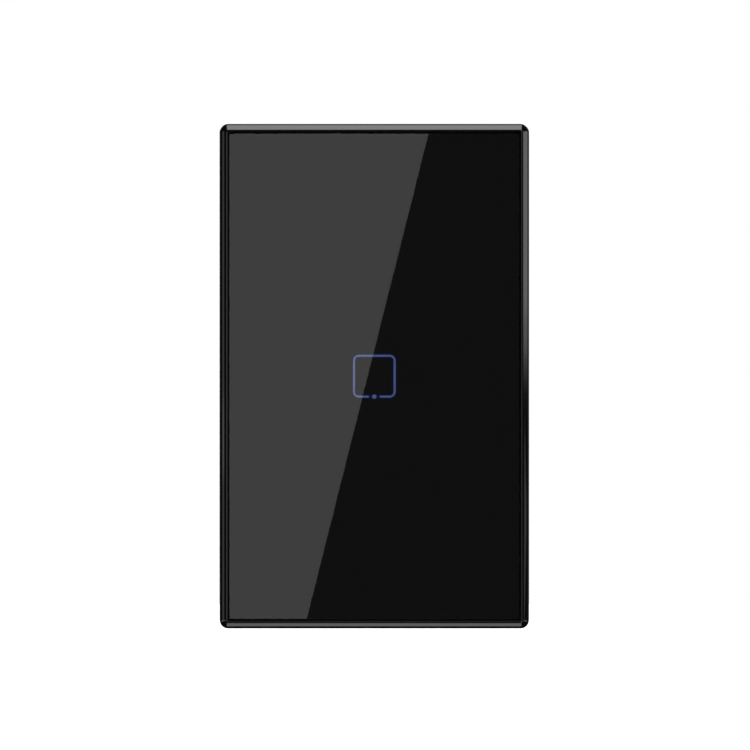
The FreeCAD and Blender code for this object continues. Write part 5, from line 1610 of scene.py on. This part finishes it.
@dataclass
class Studio:
    """Pale floor, soft lamps, white surround and the boards that the gloss shows."""

    camera: Camera = field(default_factory=Camera)
    floor_level: float = -112.0
    floor_radius: float = 1700.0
    floor_paint: Colour = (0.8, 0.8, 0.8)
    floor_glow: Pair = (0.12, 0.8)
    glow_metres: Pair = (0.2, 0.9)
    glass_front: float = -11.15
    glass_half_width: float = 75.0
    slant: Pair = (-1.572, 0.251)
    slant_ends: Pair = (-80.0, 80.0)
    card_distance: float = 800.0
    card_base: float = -11.3
    card_edges: Pair = (36.0, 59.0)
    room: float = 0.5
    tent_radius: float = 3400.0
    tent_front: float = -100.0
    tent_light: float = 0.025
    mat_rise: float = 0.5
    board_rise: float = 1.0

    def build(self) -> None:
        """Set up the whole studio."""
        bpy.context.scene.view_settings.view_transform = "Standard"
        self.camera.build()
        self.build_world()
        self.build_floor()
        for lamp in self.lamps():
            lamp.build()
        self.build_tent()
        for card in self.cards():
            card.build()

    def build_world(self) -> None:
        """White to the eye and to gloss, a plain level of light to the rest."""
        world = bpy.data.worlds.new("studio")
        bpy.context.scene.world = world
        world.use_nodes = True
        nodes = Nodes(world.node_tree)
        back = nodes.tree.nodes["Background"].inputs
        nodes.feed(back["Color"], (1.0, 1.0, 1.0))
        nodes.feed(back["Strength"], nodes.background_rays(self.room, 1.0))

    def build_floor(self) -> None:
        """A wide pale floor below the panel that keeps its shadow and grows white far off."""
        bpy.ops.object.select_all(action="DESELECT")
        bpy.ops.mesh.primitive_circle_add(
            vertices=96, radius=self.floor_radius * MM, fill_type="NGON",
            location=(0, 0, self.floor_level * MM),
        )
        floor = bpy.context.object
        floor.name = "floor"
        board = NodeBoard("pale_floor", "ShaderNodeAddShader")
        matt = board.put("ShaderNodeBsdfDiffuse", {"Color": self.floor_paint})
        away = board.amount("ShaderNodeVectorMath", {0: board.place}, "Value", operation="LENGTH")
        lift = away.spread(*self.floor_glow, *self.glow_metres)
        glow = board.put("ShaderNodeEmission", {"Strength": lift * board.background_rays(0.0, 1.0)})
        for socket, shader in zip(board.shader.inputs, (matt, glow)):
            board.feed(socket, shader.outputs[0])
        floor.data.materials.append(board.material)

    def lamps(self) -> list[Lamp]:
        """List the lamps, in front without gloss of their own, behind with it.

        Returns:
            The lamps.
        """
        return [
            Lamp("front_lamp", (-0.7, -1.1, 1.1), 12.0, 1.0, False),
            Lamp("front_fill", (0.9, -1.0, 0.4), 5.0, 1.2, False),
            Lamp("back_lamp", (0.8, 1.0, 1.1), 11.0, 0.9, True),
            Lamp("back_fill", (-1.0, 0.9, 0.5), 5.0, 1.1, True),
        ]

    def build_tent(self) -> None:
        """A dark tent over the front, so that gloss there shows the boards and little else."""
        bpy.ops.object.select_all(action="DESELECT")
        bpy.ops.mesh.primitive_uv_sphere_add(segments=48, ring_count=24, radius=self.tent_radius * MM)
        tent = bpy.context.object
        tent.name = "dark_tent"
        bpy.ops.object.mode_set(mode="EDIT")
        bpy.ops.mesh.select_all(action="SELECT")
        front = (0, self.tent_front * MM, 0)
        bpy.ops.mesh.bisect(plane_co=front, plane_no=(0, 1, 0), clear_outer=True)
        bpy.ops.object.mode_set(mode="OBJECT")
        light_up(tent, self.tent_light)

    def mirrored(self, x: float, z: float) -> Point:
        """Find where the camera looks, off the glass, on the far boards.

        Args:
            x: Place on the glass across.
            z: Place on the glass upwards.

        Returns:
            The place on the far boards.
        """
        near = self.camera.distance - (self.glass_front - self.camera.rim)
        grow = self.card_distance / near
        aim_x, aim_z = self.camera.aim
        return (x + (x - aim_x) * grow, self.glass_front - self.card_distance, z + (z - aim_z) * grow)

    def glass_board(self, name: str, light: float, side: int) -> Card:
        """Give a far board that fills the glass on one side of the slant.

        Args:
            name: The card's name.
            light: Its strength.
            side: -1 for left, 1 for right.

        Returns:
            The card.
        """
        offset, lean = self.slant
        ends = self.slant_ends[::-side]
        inner = [(offset + lean * z, z) for z in ends]
        outer = [(side * self.glass_half_width, z) for z in ends[::-1]]
        return Card(name, light, [self.mirrored(x, z) for x, z in (*inner, *outer)])

    def cards(self) -> list[Card]:
        """Lay out the boards: two for the glass, divided on a slant, and some for each facet.

        Returns:
            The boards.
        """
        wide, sides = self.tent_radius, (-1, 1)
        floor_boards = (
            (1.0, ((60, -63), (300, -470), (560, -470), (180, -63))),
            (0.4, ((70, -120), (190, -470), (300, -470), (94, -120))),
        )
        return [
            self.glass_board("lit_board", 1.0, -1),
            self.glass_board("dim_board", 0.1, 1),
            self.level_card("dark_mat", self.tent_light, self.mat_rise, self.oblong(wide, -wide, 60.0)),
            self.level_card("dark_runner", self.tent_light, self.mat_rise, self.oblong(110.0, 60.0, 1600.0)),
            *(
                self.level_card("floor_board", light, self.board_rise, places, side)
                for side in sides for light, places in floor_boards
            ),
            self.around("top_board", 2.2, Edge.TOP, (30, 66), (-140, 140)),
            self.around("ceiling_board", 0.12, Edge.TOP, (68, 130), (-400, 400)),
            self.around("bottom_board", 1.1, Edge.BOTTOM, (34, 56), (-48, 44), distance=62),
            self.around("right_board_upper", 1.2, Edge.RIGHT, (32, 62), (20, 170)),
            self.around("right_board_middle", 0.8, Edge.RIGHT, (32, 62), (7, 20)),
            self.around("right_board_faded", 0.32, Edge.RIGHT, (32, 62), (-1, 7)),
            self.around("right_glint_upper", 0.35, Edge.RIGHT, (38, 42), (-18, -46), (37, 54)),
            self.around("right_glint_lower", 0.35, Edge.RIGHT, (37, 54), (-46, -84), (35, 37)),
            self.around("sill_board", 0.13, Edge.BOTTOM, (76, 90), (-140, 140), distance=95),
            self.around("left_board", 0.33, Edge.LEFT, (38, 51), (-170, 170)),
            self.around("left_board_bright", 0.6, Edge.LEFT, (38, 51), (-32, -8), distance=590),
            self.around("right_side_board", 0.33, Edge.RIGHT, (72, 100), (-320, 320)),
            self.around("left_side_board", 0.2, Edge.LEFT, (72, 100), (-320, 320)),
            *(self.corner_flag(side) for side in sides),
            self.flag("right_flag", 1),
            self.flag("left_flag", -1),
        ]

    def oblong(self, reach: float, near: float, far: float) -> list[Pair]:
        """Give the corners of an oblong on the floor."""
        return [(-reach, far), (reach, far), (reach, near), (-reach, near)]

    def level_card(
        self, name: str, light: float, rise: float, places: Sequence[Pair], side: int = 1
    ) -> Card:
        """Give a card that lies level.

        Args:
            name: The card's name.
            light: Its strength.
            rise: How far it is above the floor.
            places: Its corners across and from front to back, for the right side.
            side: 1 for right, -1 for left.

        Returns:
            The card.
        """
        return Card(name, light, [(side * x, y, self.floor_level + rise) for x, y in places])

    def corner_flag(self, side: int) -> Card:
        """Give a small dark board below a lower corner, to keep the floor boards out of it.

        Args:
            side: 1 for right, -1 for left.

        Returns:
            The board.
        """
        near, far, front, back, level = 35.5, 42.0, -21.0, -11.6, -60.1
        places = ((near, back), (far, back), (far, front), (near, front))
        return Card("corner_flag", self.tent_light, [(side * x, y, level) for x, y in places])

    def flag(self, name: str, side: int) -> Card:
        """Give a dark board upright beside the panel, reaching back past it.

        Args:
            name: The card's name.
            side: 1 for right, -1 for left.

        Returns:
            The board.
        """
        x, near, far, tall = side * 560.0, -40.0, 3400.0, 260.0
        corners = [(x, near, -tall), (x, far, -tall), (x, far, tall), (x, near, tall)]
        return Card(name, self.tent_light, corners)

    def around(
        self, name: str, light: float, edge: Edge, angles: Pair, span: Pair,
        end_angles: Pair | None = None, distance: float = 600.0,
    ) -> Card:
        """Give a card beside the panel.

        Args:
            name: The card's name.
            light: Its strength.
            edge: The panel's edge that it faces.
            angles: Where its first end starts and stops, in degrees from straight ahead.
            span: Its two ends along the panel's edge.
            end_angles: Where its other end starts and stops, if not as the first.
            distance: How far away it is.

        Returns:
            The card.
        """
        upright = edge in (Edge.LEFT, Edge.RIGHT)
        turn = math.radians(edge.value)
        out = Vector((math.cos(turn), 0, math.sin(turn)))
        along = Vector((0, 0, 1)) if upright else Vector((1, 0, 0))
        start = out * self.card_edges[0 if upright else 1] + Vector((0, self.card_base, 0))
        low, high = angles, end_angles or angles
        corners = []
        for angle, place in ((low[0], span[0]), (high[0], span[1]), (high[1], span[1]), (low[1], span[0])):
            turned = math.radians(angle)
            ray = out * math.sin(turned) * distance + Vector((0, -math.cos(turned) * distance, 0))
            corners.append(tuple(start + ray + along * place))
        return Card(name, light, corners)


def main() -> None:
    """Build the studio, dress the nodes and add the finer pieces."""
    logging.basicConfig(level=logging.INFO, format="%(message)s")
    rack = FinishRack()
    Studio().build()
    rack.dress_nodes()
    touch_chip = EpoxyBody(
        rack, "touch_chip_body", "touch_chip", (-9.0, -14.0), (4.95, 1.95), (-4.7, -3.5), (-12.9, -15.0),
        Body.FRONT_PANEL,
    )
    supply_chip = EpoxyBody(
        rack, "supply_chip_body", "supply_chip", (9.4, 12.0), (3.1, 4.3), (5.6, 8.9), (7.4, 15.2),
        Body.BASE, 0.2,
    )
    rectifier = EpoxyBody(
        rack, "rectifier_body", "bridge_rectifier", (1.5, 12.5), (2.35, 3.0), (5.6, 8.1), (-0.1, 14.8),
        Body.BASE, 0.16,
    )
    bulk_cans = SleevedCans(
        rack, "bulk_cans", "bulk_capacitors", (-13.5, 4.0), 4.0, (5.6, 17.6),
        (0.012, 0.014, 0.02), (0.016, 0.018, 0.026), 2, 8.8,
    )
    output_can = SleevedCans(
        rack, "output_can", "output_capacitor", (14.5, 3.95), 3.15, (5.6, 14.6),
        (0.01, 0.03, 0.09), (0.013, 0.036, 0.1),
    )
    assemblies: list[Assembly] = [
        Bezel(rack), Pane(rack), KeyMask(rack), CeramicParts(rack), RadioModule(rack),
        touch_chip, supply_chip, rectifier, RelayCoil(rack), TransformerWinding(rack),
        bulk_cans, output_can, FuseResistor(rack), TerminalBlock(rack),
    ]
    for assembly in assemblies:
        assembly.build()
        log.info("built %s", type(assembly).__name__)


if __name__ == "__main__":
    main()
